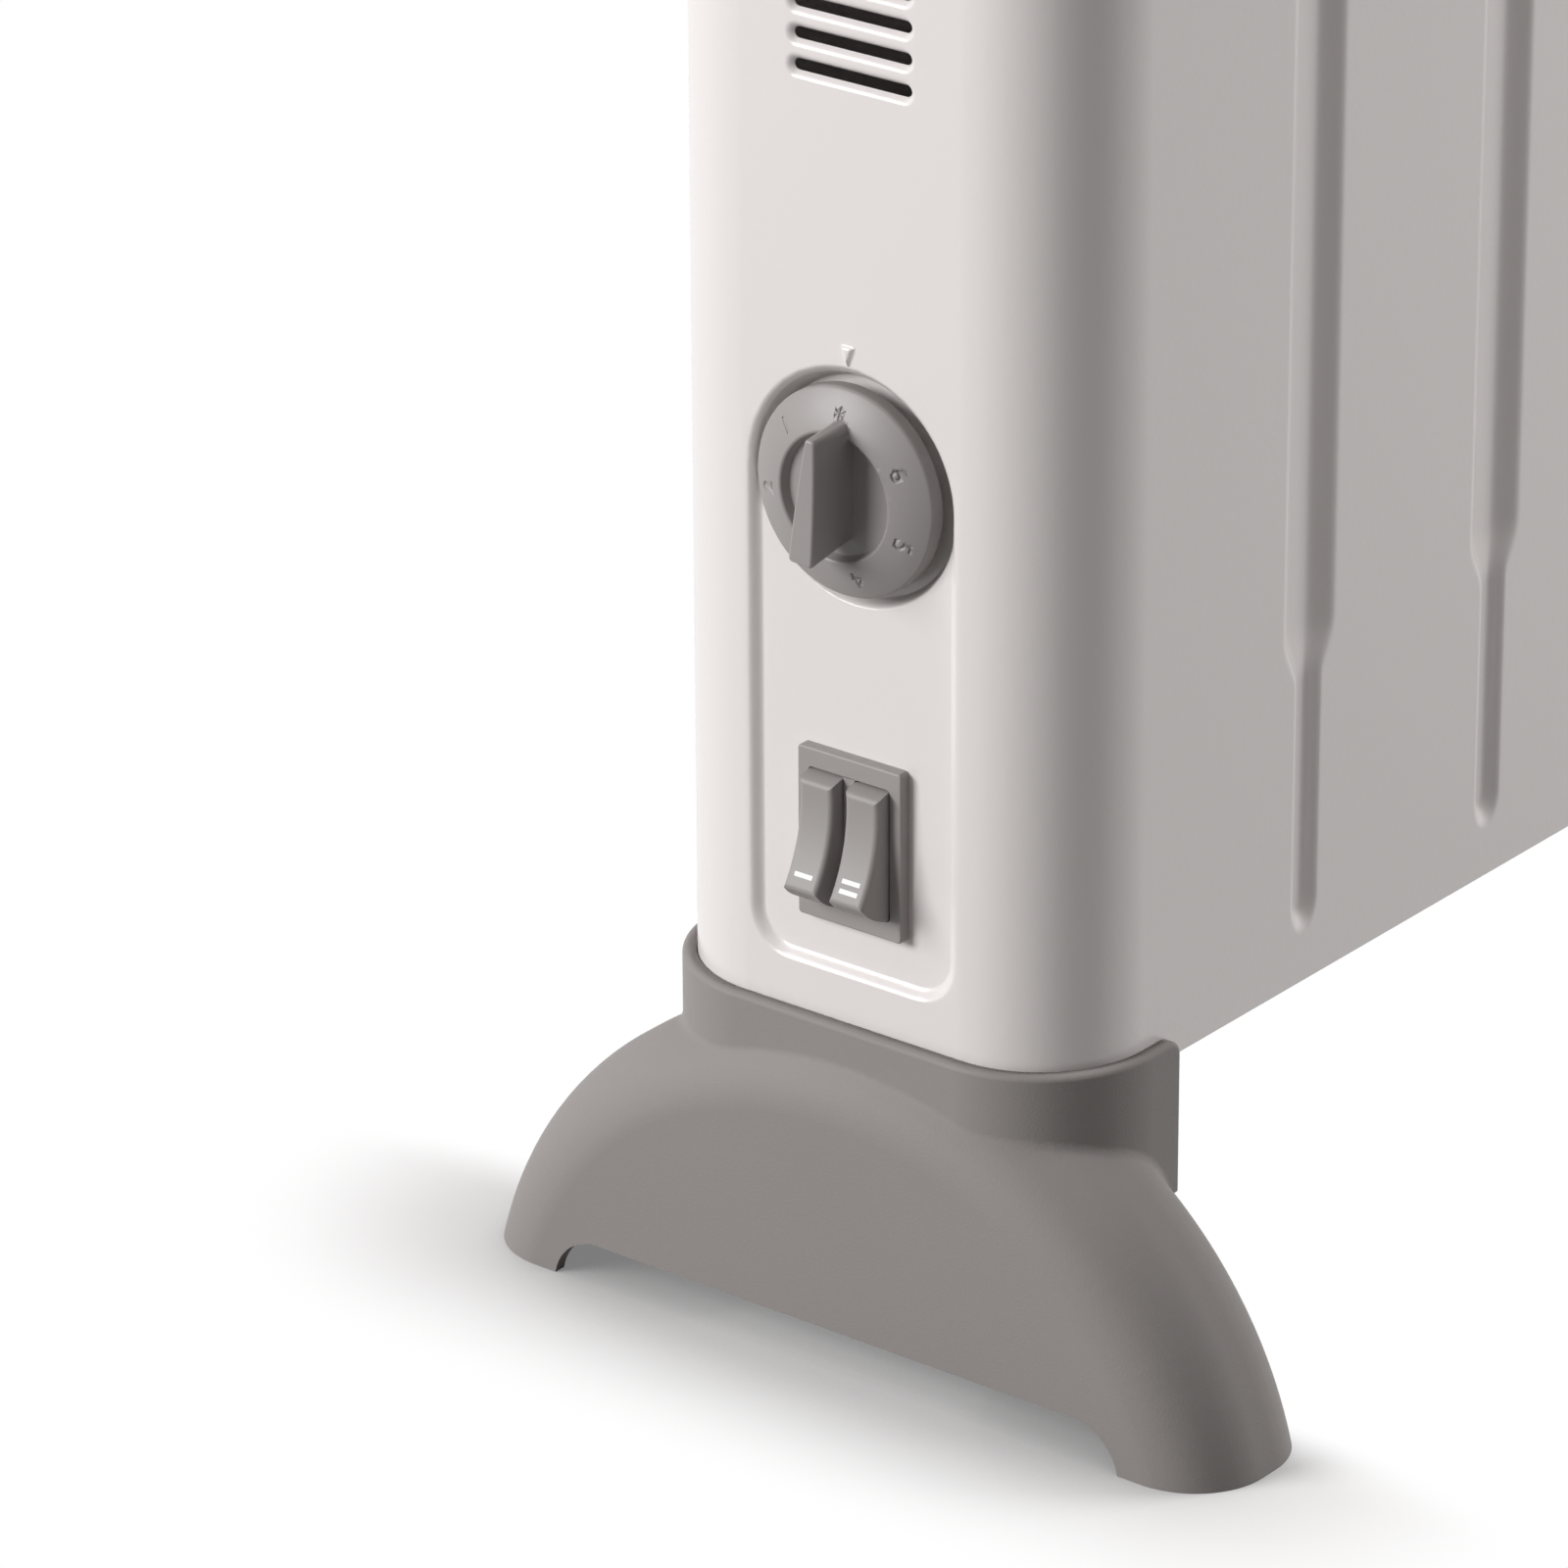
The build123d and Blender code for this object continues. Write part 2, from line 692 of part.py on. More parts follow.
def rocker(side):
    # Dished rocker on two stub pins, resting with its upper end pressed in.
    half = math.radians(rocker_half_angle)
    corner_y = rocker_radius * math.sin(half)
    corner_z = rocker_radius * math.cos(half)
    heel_y = math.sqrt(rocker_radius ** 2 - rocker_keel ** 2)
    face_arc = ThreePointArc((corner_y, corner_z), (0, corner_z - rocker_dish), (-corner_y, corner_z))
    middle = math.radians((rocker_half_angle + 90) / 2)
    flank = (rocker_radius * math.sin(middle), rocker_radius * math.cos(middle))
    upper = ThreePointArc((heel_y, -rocker_keel), flank, (corner_y, corner_z))
    lower = ThreePointArc((-corner_y, corner_z), (-flank[0], flank[1]), (-heel_y, -rocker_keel))
    keel = Line((-heel_y, -rocker_keel), (heel_y, -rocker_keel))
    outline = make_face(Curve() + [face_arc, lower, keel, upper])
    body = extrude(Plane.YZ * outline, rocker_width / 2, both=True)
    front_edges = [edge for edge in body.edges() if edge.center().Z > corner_z - 2 * rocker_dish
                   and edge.center().Z > rocker_edge_round]
    body = fillet(front_edges, rocker_edge_round)
    pin_length = window_width() + 2 * pin_reach
    body += Rot(0, 90, 0) * Cylinder(pin_radius, pin_length)
    pivot = recess_floor + pivot_rise
    place = Pos(side * rocker_pitch / 2, switch_z, pivot)
    return control_face * place * Rot(-rocker_tilt, 0, 0) * body


def switch_spade_places():
    return [(side * rocker_pitch / 2, row * switch_row_pitch) for side in (-1, 1) for row in (-1, 0, 1)]


def switch_terminals():
    level = recess_floor - switch_body_depth
    return [control_face * Pos(0, switch_z, 0) * spade(x, y, level) for x, y in switch_spade_places()]


def bush_hole_radius():
    return bush_outer + running_fit


def side_reach():
    return shield_half_span + shield_gauge + plate_gauge


def upright(x_low, top, flange_from, flange_to):
    # Upright plate on the tray, with a screwed foot and two side flanges for the heat shields.
    reach = side_reach()
    plate = block(x_low, x_low + plate_gauge, -reach, reach, tray_top, top)
    plate += block(x_low - foot_flange + plate_gauge, x_low + plate_gauge, -reach, reach, tray_top,
                   tray_top + plate_gauge)
    plate -= rod_along_x(wire_radius + 2 * fit, x_low - sheet, x_low + 2 * plate_gauge, 0, return_wire_z())
    for side in (-1, 1):
        y_pair = sorted((side * (reach - plate_gauge), side * reach))
        plate += block(flange_from, flange_to, *y_pair, case_bottom + shield_low, case_bottom + shield_high)
        plate -= rod_along_x(bush_hole_radius(), x_low - sheet, x_low + 2 * plate_gauge,
                             side * element_spread, element_z)
        plate -= rod_along_z(hole_radius, tray_top - sheet, tray_top + 2 * plate_gauge,
                             x_low + plate_gauge - foot_flange / 2, side * foot_screw_spread)
    return plate


def control_bulkhead():
    low = bulkhead_x - plate_gauge
    plate = upright(low, case_top - bulkhead_top_gap, bulkhead_x, bulkhead_x + side_flange)
    for side in (-1, 1):
        plate -= rod_along_x(hole_radius, low - sheet, bulkhead_x + sheet,
                             side * cutout_screw_reach(), cutout_z())
    for y in terminal_screw_places():
        plate -= rod_along_x(hole_radius, low - sheet, bulkhead_x + sheet, y, terminal_z())
    return plate


def far_bracket():
    return upright(bracket_x - plate_gauge, case_bottom + shield_high, bracket_x - plate_gauge - side_flange,
                   bracket_x - plate_gauge)


def heat_shield(side):
    y_pair = sorted((side * shield_half_span, side * (shield_half_span + shield_gauge)))
    return block(bulkhead_x, bracket_x - plate_gauge, *y_pair,
                 case_bottom + shield_low, case_bottom + shield_high)


def element_fins(side):
    x_low = bulkhead_x + element_end_gap
    x_high = bracket_x - plate_gauge - element_end_gap
    section = Circle(element_core)
    for turn in (45, -45):
        section += Rot(0, 0, turn) * Rectangle(2 * element_reach, element_fin)
    section -= Circle(rod_radius + running_fit)
    fins = extrude(Plane.YZ.offset(x_low) * Pos(side * element_spread, element_z) * section, x_high - x_low)
    return fins


def rod_ends():
    low = bulkhead_x - plate_gauge - bush_flange_thickness - stud_shoulder
    high = bracket_x + bush_flange_thickness + stud_shoulder
    return low, high


def element_rod(side):
    low, high = rod_ends()
    y = side * element_spread
    rod = rod_along_x(rod_radius, low, high, y, element_z)
    rod += rod_along_x(stud_radius, low - stud_length, low, y, element_z)
    return rod + rod_along_x(stud_radius, high, high + stud_length, y, element_z)


def element_bushes():
    bushes = []
    near = bulkhead_x - plate_gauge
    for side in (-1, 1):
        y = side * element_spread
        for face, outwards in ((near, -1), (bracket_x, 1)):
            sleeve = sorted((face + outwards * bush_flange_thickness, face - outwards * bush_sleeve))
            flange = sorted((face + outwards * bush_flange_thickness, face))
            bush = rod_along_x(bush_outer, *sleeve, y, element_z)
            bush += rod_along_x(bush_flange, *flange, y, element_z)
            bushes.append(bush - rod_along_x(rod_radius + running_fit, sleeve[0] - sheet, sleeve[1] + sheet,
                                             y, element_z))
    return bushes


def cutout_z():
    return case_bottom + cutout_height


def cutout_screw_reach():
    return cutout_radius + screw_head_radius + sheet


def thermal_cutout():
    # Disc cut-out on a two-eared plate, on the control side of the bulkhead.
    face = bulkhead_x - plate_gauge
    reach = cutout_screw_reach() + screw_head_radius
    body = block(face - sheet, face, -reach, reach,
                 cutout_z() - screw_head_radius, cutout_z() + screw_head_radius)
    body += rod_along_x(cutout_radius, face - cutout_depth, face, 0, cutout_z())
    for side in (-1, 1):
        body -= rod_along_x(hole_radius, face - 2 * sheet, face + sheet,
                            side * cutout_screw_reach(), cutout_z())
    for side in (-1, 1):
        middle = side * cutout_radius / 2
        y_pair = (middle - spade_thickness / 2, middle + spade_thickness / 2)
        body += block(face - cutout_depth - spade_length, face - cutout_depth, *y_pair,
                      cutout_z() - spade_width / 2, cutout_z() + spade_width / 2)
    return body


def terminal_z():
    return case_bottom + terminal_block_height


def terminal_screw_places():
    return [terminal_block_side + side * terminal_length / 3 for side in (-1, 1)]


def terminal_wire_places():
    return [terminal_block_side + step * terminal_length / 3 for step in (-1.2, 0, 1.2)]


def terminal_block():
    face = bulkhead_x - plate_gauge
    half = terminal_length / 2
    body = block(face - terminal_depth, face, terminal_block_side - half, terminal_block_side + half,
                 terminal_z() - terminal_height_size / 2, terminal_z() + terminal_height_size / 2)
    for y in terminal_screw_places():
        body -= rod_along_x(hole_radius, face - 2 * terminal_depth, face + sheet, y, terminal_z())
        body -= rod_along_x(screw_head_radius + fit, face - 2 * terminal_depth,
                            face - terminal_seat, y, terminal_z())
    return body


def screw(origin, outwards, length):
    body = rod_along_z(screw_radius, -length, 0)
    head = fillet(rod_along_z(screw_head_radius, 0, screw_head).faces().sort_by(Axis.Z)[-1].edges(),
                  screw_head / 2)
    head -= Pos(0, 0, screw_head) * Box(screw_head_radius, screw_slot, screw_head)
    head -= Pos(0, 0, screw_head) * Box(screw_slot, screw_head_radius, screw_head)
    return Plane(origin=origin, z_dir=outwards) * (body + head)


def rear_panel_screws():
    return [screw((x, case_depth / 2, z), (0, 1, 0), screw_length) for x, z in rear_screw_places()]


def foot_screws():
    return [screw((x, y, case_bottom - foot_seat), (0, 0, -1), screw_length) for x, y in foot_screw_places()]


def tray_screws():
    return [screw((x, y, tray_top + plate_gauge), (0, 0, 1), short_screw) for x, y in tray_screw_places()]


def thermostat_screws():
    x = -end_x - well_floor
    return [screw((x, side * thermostat_screw_spread, knob_z), (-1, 0, 0), screw_length) for side in (-1, 1)]


def bulkhead_screws():
    face = bulkhead_x - plate_gauge
    screws = [screw((face - sheet, side * cutout_screw_reach(), cutout_z()), (-1, 0, 0), short_screw)
              for side in (-1, 1)]
    return screws + [screw((face - terminal_seat, y, terminal_z()), (-1, 0, 0), screw_length)
                     for y in terminal_screw_places()]


def cord_gland():
    # Round cord inlet with a flange outside the rear panel.
    body = rod_along_z(gland_thread, -sheet - gland_nut_thickness - gland_tail, 0)
    flange = rod_along_z(gland_flange, 0, gland_flange_thickness)
    flange = fillet(flange.faces().sort_by(Axis.Z)[-1].edges(), gland_flange_thickness / 2)
    inlet = body + flange - rod_along_z(gland_bore, -case_depth / 2, gland_flange_thickness + sheet)
    return rear_face * Pos(*gland_place(), 0) * inlet


def gland_nut_ring():
    nut = extrude(RegularPolygon(gland_nut, 6), gland_nut_thickness)
    nut -= rod_along_z(gland_thread + running_fit, -sheet, gland_nut_thickness + sheet)
    return rear_face * Pos(*gland_place(), -sheet - gland_nut_thickness) * nut


def wire(points):
    path = FilletPolyline(*points, radius=wire_bend)
    return sweep(Plane(origin=path @ 0, z_dir=path % 0) * Circle(wire_radius), path=path)


def lead(start, start_run, finish, finish_run):
    # A lead leaves both ends along X and crosses over between them.
    return wire([start, (start[0] + start_run, start[1], start[2]),
                 (finish[0] + finish_run, finish[1], finish[2]), finish])


def wiring_leads():
    # Supply to the switch poles, on to thermostat, cut-out and elements, neutral back along the tray.
    out = wire_run
    block_face = bulkhead_x - plate_gauge - terminal_depth
    live, neutral, earth = [(block_face, y, terminal_z()) for y in terminal_wire_places()]
    switch_x = -end_x - recess_floor + switch_body_depth + spade_length
    switches = [(switch_x, -x, switch_z + y) for x, y in switch_spade_places()]
    thermostat_x = -end_x - thermostat_spade_level() + spade_length
    thermostats = [(thermostat_x, side * block_width / 4, knob_z) for side in (-1, 1)]
    cutout_x = bulkhead_x - plate_gauge - cutout_depth - spade_length
    cutouts = [(cutout_x, side * cutout_radius / 2, cutout_z()) for side in (-1, 1)]
    stud_x = rod_ends()[0] - stud_length
    studs = [(stud_x, side * element_spread, element_z) for side in (-1, 1)]
    return [lead(live, -out, switches[1], out),
            lead(switches[4], out, thermostats[0], out),
            lead(thermostats[1], out, cutouts[1], -out),
            lead(cutouts[0], -out, studs[0], -out),
            lead(switches[2], out, studs[1], -out),
            neutral_return(neutral),
            wire([earth, (block_face - out, earth[1], earth[2]),
                  (block_face - out, earth[1], earth[2] + earth_rise),
                  (bulkhead_x - plate_gauge, earth[1], earth[2] + earth_rise)])]


def neutral_return(start):
    # Runs under the elements to the far end, then up to the link between the far studs.
    x_near = start[0] - wire_run
    x_far = rod_ends()[1] + stud_length / 2
    low = return_wire_z()
    return wire([start, (x_near, start[1], start[2]), (x_near, 0, low), (x_far, 0, low),
                 (x_far, 0, element_z - link_height / 2)])


def return_wire_z():
    return tray_top + return_wire_rise


def neutral_link():
    # Flat link that joins the far studs of the two elements.
    x = rod_ends()[1]
    reach = element_spread + link_height / 2
    link = block(x, x + stud_length, -reach, reach, element_z - link_height / 2, element_z + link_height / 2)
    for side in (-1, 1):
        link -= rod_along_x(stud_radius + running_fit, x - sheet, x + stud_length + sheet,
                            side * element_spread, element_z)
    return link


def make_parts():
    foot = control_foot()
    parts = {
        "front_shell": front_shell(),
        "rear_panel": rear_panel(),
        "top_grille": top_grille(),
        "base_tray": base_tray(),
        "control_foot": foot,
        "far_foot": Rot(0, 0, 180) * foot,
        "thermostat_knob": thermostat_knob(),
        "thermostat_shaft": thermostat_shaft(),
        "thermostat_frame": thermostat_frame(),
        "thermostat_block": thermostat_block(),
        "bimetal_strip": bimetal_strip(),
        "thermostat_terminals": thermostat_terminals(),
        "switch_housing": switch_housing(),
        "left_rocker": rocker(-1),
        "right_rocker": rocker(1),
        "switch_terminals": switch_terminals(),
        "control_bulkhead": control_bulkhead(),
        "far_bracket": far_bracket(),
        "front_heat_shield": heat_shield(-1),
        "rear_heat_shield": heat_shield(1),
        "front_element_fins": element_fins(-1),
        "rear_element_fins": element_fins(1),
        "front_element_rod": element_rod(-1),
        "rear_element_rod": element_rod(1),
        "element_bushes": element_bushes(),
        "thermal_cutout": thermal_cutout(),
        "terminal_block": terminal_block(),
        "neutral_link": neutral_link(),
        "cord_gland": cord_gland(),
        "gland_nut": gland_nut_ring(),
        "wiring_leads": wiring_leads(),
        "rear_panel_screws": rear_panel_screws(),
        "foot_screws": foot_screws(),
        "tray_screws": tray_screws(),
        "thermostat_screws": thermostat_screws(),
        "bulkhead_screws": bulkhead_screws(),
    }
    return parts


os.makedirs("parts", exist_ok=True)
for name, shape in make_parts().items():
    solid = Compound(children=shape) if isinstance(shape, list) else shape
    export_step(solid, f"parts/{name}.step")
    print(name, "written")
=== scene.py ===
import json
import math

import bmesh
import bpy
from mathutils import Matrix, Vector
from mathutils.geometry import delaunay_2d_cdt


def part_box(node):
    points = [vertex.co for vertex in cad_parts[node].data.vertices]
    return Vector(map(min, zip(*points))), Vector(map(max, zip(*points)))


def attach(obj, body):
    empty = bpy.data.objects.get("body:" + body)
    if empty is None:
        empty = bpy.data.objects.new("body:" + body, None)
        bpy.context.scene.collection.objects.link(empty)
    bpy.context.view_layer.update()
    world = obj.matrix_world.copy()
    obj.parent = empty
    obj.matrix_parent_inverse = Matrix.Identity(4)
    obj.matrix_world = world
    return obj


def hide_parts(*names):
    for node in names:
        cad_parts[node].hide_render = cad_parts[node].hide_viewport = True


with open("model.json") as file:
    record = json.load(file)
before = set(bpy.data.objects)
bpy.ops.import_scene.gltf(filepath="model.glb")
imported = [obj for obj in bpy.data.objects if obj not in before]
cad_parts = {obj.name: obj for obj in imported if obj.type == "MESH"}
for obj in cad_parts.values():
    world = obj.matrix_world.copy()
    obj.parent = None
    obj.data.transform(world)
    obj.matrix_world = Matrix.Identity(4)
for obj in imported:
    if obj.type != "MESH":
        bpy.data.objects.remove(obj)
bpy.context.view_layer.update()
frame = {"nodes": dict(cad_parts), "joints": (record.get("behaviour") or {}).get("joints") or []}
mm = 0.001
print("frame loaded with", len(frame["nodes"]), "nodes")


# Shader maths: a Wire is an output socket that takes part in arithmetic.
class Wire:
    def __init__(self, finish, socket):
        self.finish = finish
        self.socket = socket

    def maths(self, operation, first, second):
        return self.finish.add("ShaderNodeMath", {"operation": operation}, {0: first, 1: second})

    def __add__(self, other):
        return self.maths("ADD", self, other)

    def __radd__(self, other):
        return self.maths("ADD", other, self)

    def __sub__(self, other):
        return self.maths("SUBTRACT", self, other)

    def __rsub__(self, other):
        return self.maths("SUBTRACT", other, self)

    def __mul__(self, other):
        return self.maths("MULTIPLY", self, other)

    def __rmul__(self, other):
        return self.maths("MULTIPLY", other, self)

    def __pow__(self, other):
        return self.maths("POWER", self, other)


class Finish:
    def __init__(self, name):
        self.material = bpy.data.materials.new(name)
        self.material.use_nodes = True
        self.tree = self.material.node_tree
        self.tree.nodes.clear()
        self.shader = self.tree.nodes.new("ShaderNodeBsdfPrincipled")
        self.output = self.tree.nodes.new("ShaderNodeOutputMaterial")
        self.tree.links.new(self.shader.outputs[0], self.output.inputs[0])
        self.place = self.add("ShaderNodeTexCoord", {}, {}, "Object")

    def add(self, kind, settings, values, output=0):
        node = self.tree.nodes.new(kind)
        for key, value in settings.items():
            setattr(node, key, value)
        for key, value in values.items():
            self.feed(node.inputs[key], value)
        return Wire(self, node.outputs[output])

    def feed(self, socket, value):
        if isinstance(value, Wire):
            self.tree.links.new(value.socket, socket)
        else:
            socket.default_value = value

    def look(self, values):
        for key, value in values.items():
            self.feed(self.shader.inputs[key], value)
        return self

    def noise(self, scale, detail=2.0):
        return self.add("ShaderNodeTexNoise", {}, {"Vector": self.place, "Scale": scale, "Detail": detail})

    def blend(self, factor, first, second):
        return self.add("ShaderNodeMix", {"data_type": "RGBA"}, {0: factor, 6: first, 7: second}, 2)

    def bump(self, height, depth):
        return self.add("ShaderNodeBump", {}, {"Strength": 1.0, "Distance": depth, "Height": height})


def tone(red, green, blue):
    return (red, green, blue, 1.0)


def paintFinish(name, spec):
    finish = Finish(name)
    cloud = finish.noise(spec["cloudScale"])
    peel = finish.noise(spec["peelScale"], 1.0)
    return finish.look({
        "Base Color": finish.blend(cloud, spec["dark"], spec["light"]),
        "Roughness": spec["roughness"] + spec["roughSpread"] * (cloud - 0.5),
        "Normal": finish.bump(peel, spec["peelDepth"]),
        "Coat Weight": spec["coat"],
        "Coat Roughness": spec["coatRoughness"],
    })


def mouldedFinish(name, spec):
    finish = Finish(name)
    cloud = finish.noise(spec["cloudScale"])
    grain = finish.noise(spec["grainScale"], 3.0)
    return finish.look({
        "Base Color": finish.blend(cloud, spec["dark"], spec["light"]),
        "Roughness": spec["roughness"] + spec["roughSpread"] * (grain - 0.5),
        "Normal": finish.bump(grain, spec["grainDepth"]),
        "Specular IOR Level": spec.get("gloss", 0.5),
    })


def metalFinish(name, spec):
    finish = Finish(name)
    cloud = finish.noise(spec["cloudScale"], 4.0)
    grain = finish.noise(spec["grainScale"])
    return finish.look({
        "Base Color": finish.blend(cloud, spec["dark"], spec["light"]),
        "Metallic": 1.0,
        "Roughness": spec["roughness"] + spec["roughSpread"] * (cloud - 0.5),
        "Normal": finish.bump(grain, spec["grainDepth"]),
    })


finishes = {
    "white_paint": paintFinish("whitePaint", {
        "dark": tone(0.752, 0.710, 0.697), "light": tone(0.792, 0.750, 0.737), "cloudScale": 5.0,
        "roughness": 0.30, "roughSpread": 0.06, "coat": 0.25, "coatRoughness": 0.12,
        "peelScale": 520.0, "peelDepth": 0.00003}),
    "grey_plastic": mouldedFinish("greyMoulding", {
        "dark": tone(0.278, 0.257, 0.249), "light": tone(0.302, 0.280, 0.272), "cloudScale": 14.0,
        "roughness": 0.56, "roughSpread": 0.16, "grainScale": 2100.0, "grainDepth": 0.00006, "gloss": 0.15}),
    "knob_plastic": mouldedFinish("knobMoulding", {
        "dark": tone(0.286, 0.266, 0.260), "light": tone(0.309, 0.288, 0.282), "cloudScale": 30.0,
        "roughness": 0.44, "roughSpread": 0.12, "grainScale": 2600.0, "grainDepth": 0.00003}),
    "switch_plastic": mouldedFinish("bezelMoulding", {
        "dark": tone(0.298, 0.278, 0.271), "light": tone(0.322, 0.301, 0.294), "cloudScale": 30.0,
        "roughness": 0.50, "roughSpread": 0.12, "grainScale": 2600.0, "grainDepth": 0.00004}),
    "rocker_plastic": mouldedFinish("rockerMoulding", {
        "dark": tone(0.298, 0.278, 0.271), "light": tone(0.322, 0.301, 0.294), "cloudScale": 30.0,
        "roughness": 0.55, "roughSpread": 0.10, "grainScale": 2600.0, "grainDepth": 0.00003}),
    "dark_phenolic": mouldedFinish("darkPhenolic", {
        "dark": tone(0.018, 0.016, 0.015), "light": tone(0.035, 0.031, 0.028), "cloudScale": 60.0,
        "roughness": 0.45, "roughSpread": 0.20, "grainScale": 1800.0, "grainDepth": 0.00004}),
    "ceramic_white": mouldedFinish("steatite", {
        "dark": tone(0.70, 0.67, 0.61), "light": tone(0.80, 0.77, 0.71), "cloudScale": 80.0,
        "roughness": 0.38, "roughSpread": 0.15, "grainScale": 900.0, "grainDepth": 0.00003}),
    "wire_sleeve": mouldedFinish("siliconeSleeve", {
        "dark": tone(0.58, 0.54, 0.48), "light": tone(0.66, 0.62, 0.55), "cloudScale": 50.0,
        "roughness": 0.52, "roughSpread": 0.10, "grainScale": 700.0, "grainDepth": 0.00003}),
    "zinc_steel": metalFinish("zincSteel", {
        "dark": tone(0.50, 0.50, 0.49), "light": tone(0.68, 0.68, 0.66), "cloudScale": 120.0,
        "roughness": 0.36, "roughSpread": 0.18, "grainScale": 1500.0, "grainDepth": 0.00002}),
    "brass_contacts": metalFinish("tinnedBrass", {
        "dark": tone(0.66, 0.50, 0.26), "light": tone(0.80, 0.64, 0.36), "cloudScale": 150.0,
        "roughness": 0.30, "roughSpread": 0.15, "grainScale": 1500.0, "grainDepth": 0.00001}),
    "shield_aluminium": metalFinish("shieldAluminium", {
        "dark": tone(0.66, 0.66, 0.66), "light": tone(0.78, 0.78, 0.78), "cloudScale": 20.0,
        "roughness": 0.34, "roughSpread": 0.14, "grainScale": 800.0, "grainDepth": 0.00002}),
    "fin_aluminium": metalFinish("finAluminium", {
        "dark": tone(0.54, 0.54, 0.54), "light": tone(0.68, 0.68, 0.68), "cloudScale": 40.0,
        "roughness": 0.44, "roughSpread": 0.14, "grainScale": 900.0, "grainDepth": 0.00003}),
    "rod_steel": metalFinish("oxidisedRod", {
        "dark": tone(0.10, 0.085, 0.075), "light": tone(0.26, 0.22, 0.19), "cloudScale": 60.0,
        "roughness": 0.50, "roughSpread": 0.20, "grainScale": 900.0, "grainDepth": 0.00003}),
}
whitePrint = mouldedFinish("whitePrint", {
    "dark": tone(0.78, 0.77, 0.75), "light": tone(0.84, 0.83, 0.81), "cloudScale": 200.0,
    "roughness": 0.45, "roughSpread": 0.10, "grainScale": 2600.0, "grainDepth": 0.00001})
print("finishes made:", len(finishes) + 1)


# Mesh helpers. Lists of points are in millimetres, merging distances in metres and angles in degrees.
meshSpec = {
    "cadMerge": 2e-6, "merge": 1e-6, "fineMerge": 1e-7,
    "cadAngle": 32.0, "sheetAngle": 40.0, "signAngle": 30.0, "ownAngles": {"switch_housing": 12.0}}
evenNormals = ("WEIGHTED_NORMAL", {"keep_sharp": True, "weight": 50})


def meshOf(name, points, faces):
    mesh = bpy.data.meshes.new(name)
    mesh.from_pydata([Vector(point) * mm for point in points], [], faces)
    return mesh


def cleaned(mesh, merge, sharpAngle):
    work = bmesh.new()
    work.from_mesh(mesh)
    bmesh.ops.remove_doubles(work, verts=work.verts, dist=merge)
    bmesh.ops.dissolve_degenerate(work, edges=work.edges, dist=merge)
    work.to_mesh(mesh)
    work.free()
    mesh.shade_smooth()
    mesh.set_sharp_from_angle(angle=math.radians(sharpAngle))
    return mesh


def plainMesh(holder):
    bpy.context.scene.collection.objects.link(holder)
    graph = bpy.context.evaluated_depsgraph_get()
    mesh = bpy.data.meshes.new_from_object(holder.evaluated_get(graph), depsgraph=graph)
    bpy.data.objects.remove(holder)
    return mesh


def settled(mesh, kind, settings):
    holder = bpy.data.objects.new("holder", mesh)
    modifier = holder.modifiers.new(kind, kind)
    for key, value in settings.items():
        setattr(modifier, key, value)
    return plainMesh(holder)


def place(name, mesh, finish, body, nodes=()):
    mesh.materials.clear()
    mesh.materials.append(finish.material)
    piece = bpy.data.objects.new(name, mesh)
    bpy.context.scene.collection.objects.link(piece)
    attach(piece, body)
    if nodes:
        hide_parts(*nodes)
    return piece


def cadMesh(node):
    sharpAngle = meshSpec["ownAngles"].get(node, meshSpec["cadAngle"])
    return cleaned(frame["nodes"][node].data.copy(), meshSpec["cadMerge"], sharpAngle)


def cadCopy(node):
    return settled(cadMesh(node), *evenNormals)


def thickened(mesh, gauge):
    mesh = cleaned(mesh, meshSpec["merge"], meshSpec["sheetAngle"])
    mesh = settled(mesh, "SOLIDIFY", {"thickness": gauge * mm, "offset": -1.0})
    return settled(cleaned(mesh, meshSpec["fineMerge"], meshSpec["sheetAngle"]), *evenNormals)


def ease(share):
    share = min(max(share, 0.0), 1.0)
    return share * share * (3.0 - 2.0 * share)


def spaced(start, stop, steps):
    return [start + (stop - start) * step / steps for step in range(steps + 1)]


# Places on the control end: right and up as seen from outside, out from the flat of the end.
shellLow, shellHigh = [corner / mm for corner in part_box("front_shell")]
caseHalf = shellHigh.x
depthHalf = -shellLow.y
caseBottom = shellLow.z
caseTop = shellHigh.z
knobJoint, leftJoint, rightJoint = [
    Vector(next(joint for joint in frame["joints"] if joint["name"] == name)["pos_m"]) / mm
    for name in ("knob_turn", "left_rocker_tilt", "right_rocker_tilt")]
endAxes = Matrix(((0, 0, -1), (-1, 0, 0), (0, 1, 0))).to_4x4()


def endFrame(right, up, out):
    return Matrix.Translation(Vector((-caseHalf - out, -right, up)) * mm) @ endAxes


# Pressed grooves of the long panels: wide above, tapering to a narrow tail below
grooveSpec = {
    "count": 9, "fromEnd": 85.5, "low": 85.5, "high": 404.0, "endShare": 0.62,
    "taperLow": 144.0, "taper": 12.0,
    "wide": {"floorHalf": 3.5, "run": 5.8, "depth": 3.6},
    "narrow": {"floorHalf": 1.5, "run": 3.1, "depth": 2.4},
    "columnReach": 10.0, "columnSteps": 14,
    "rowMargin": 0.5, "tailRun": 9.0, "tailSteps": 12, "lowerSteps": 6, "taperMargin": 4.0, "taperSteps": 14,
    "upperSteps": 14, "headRun": 16.0, "headSteps": 18}


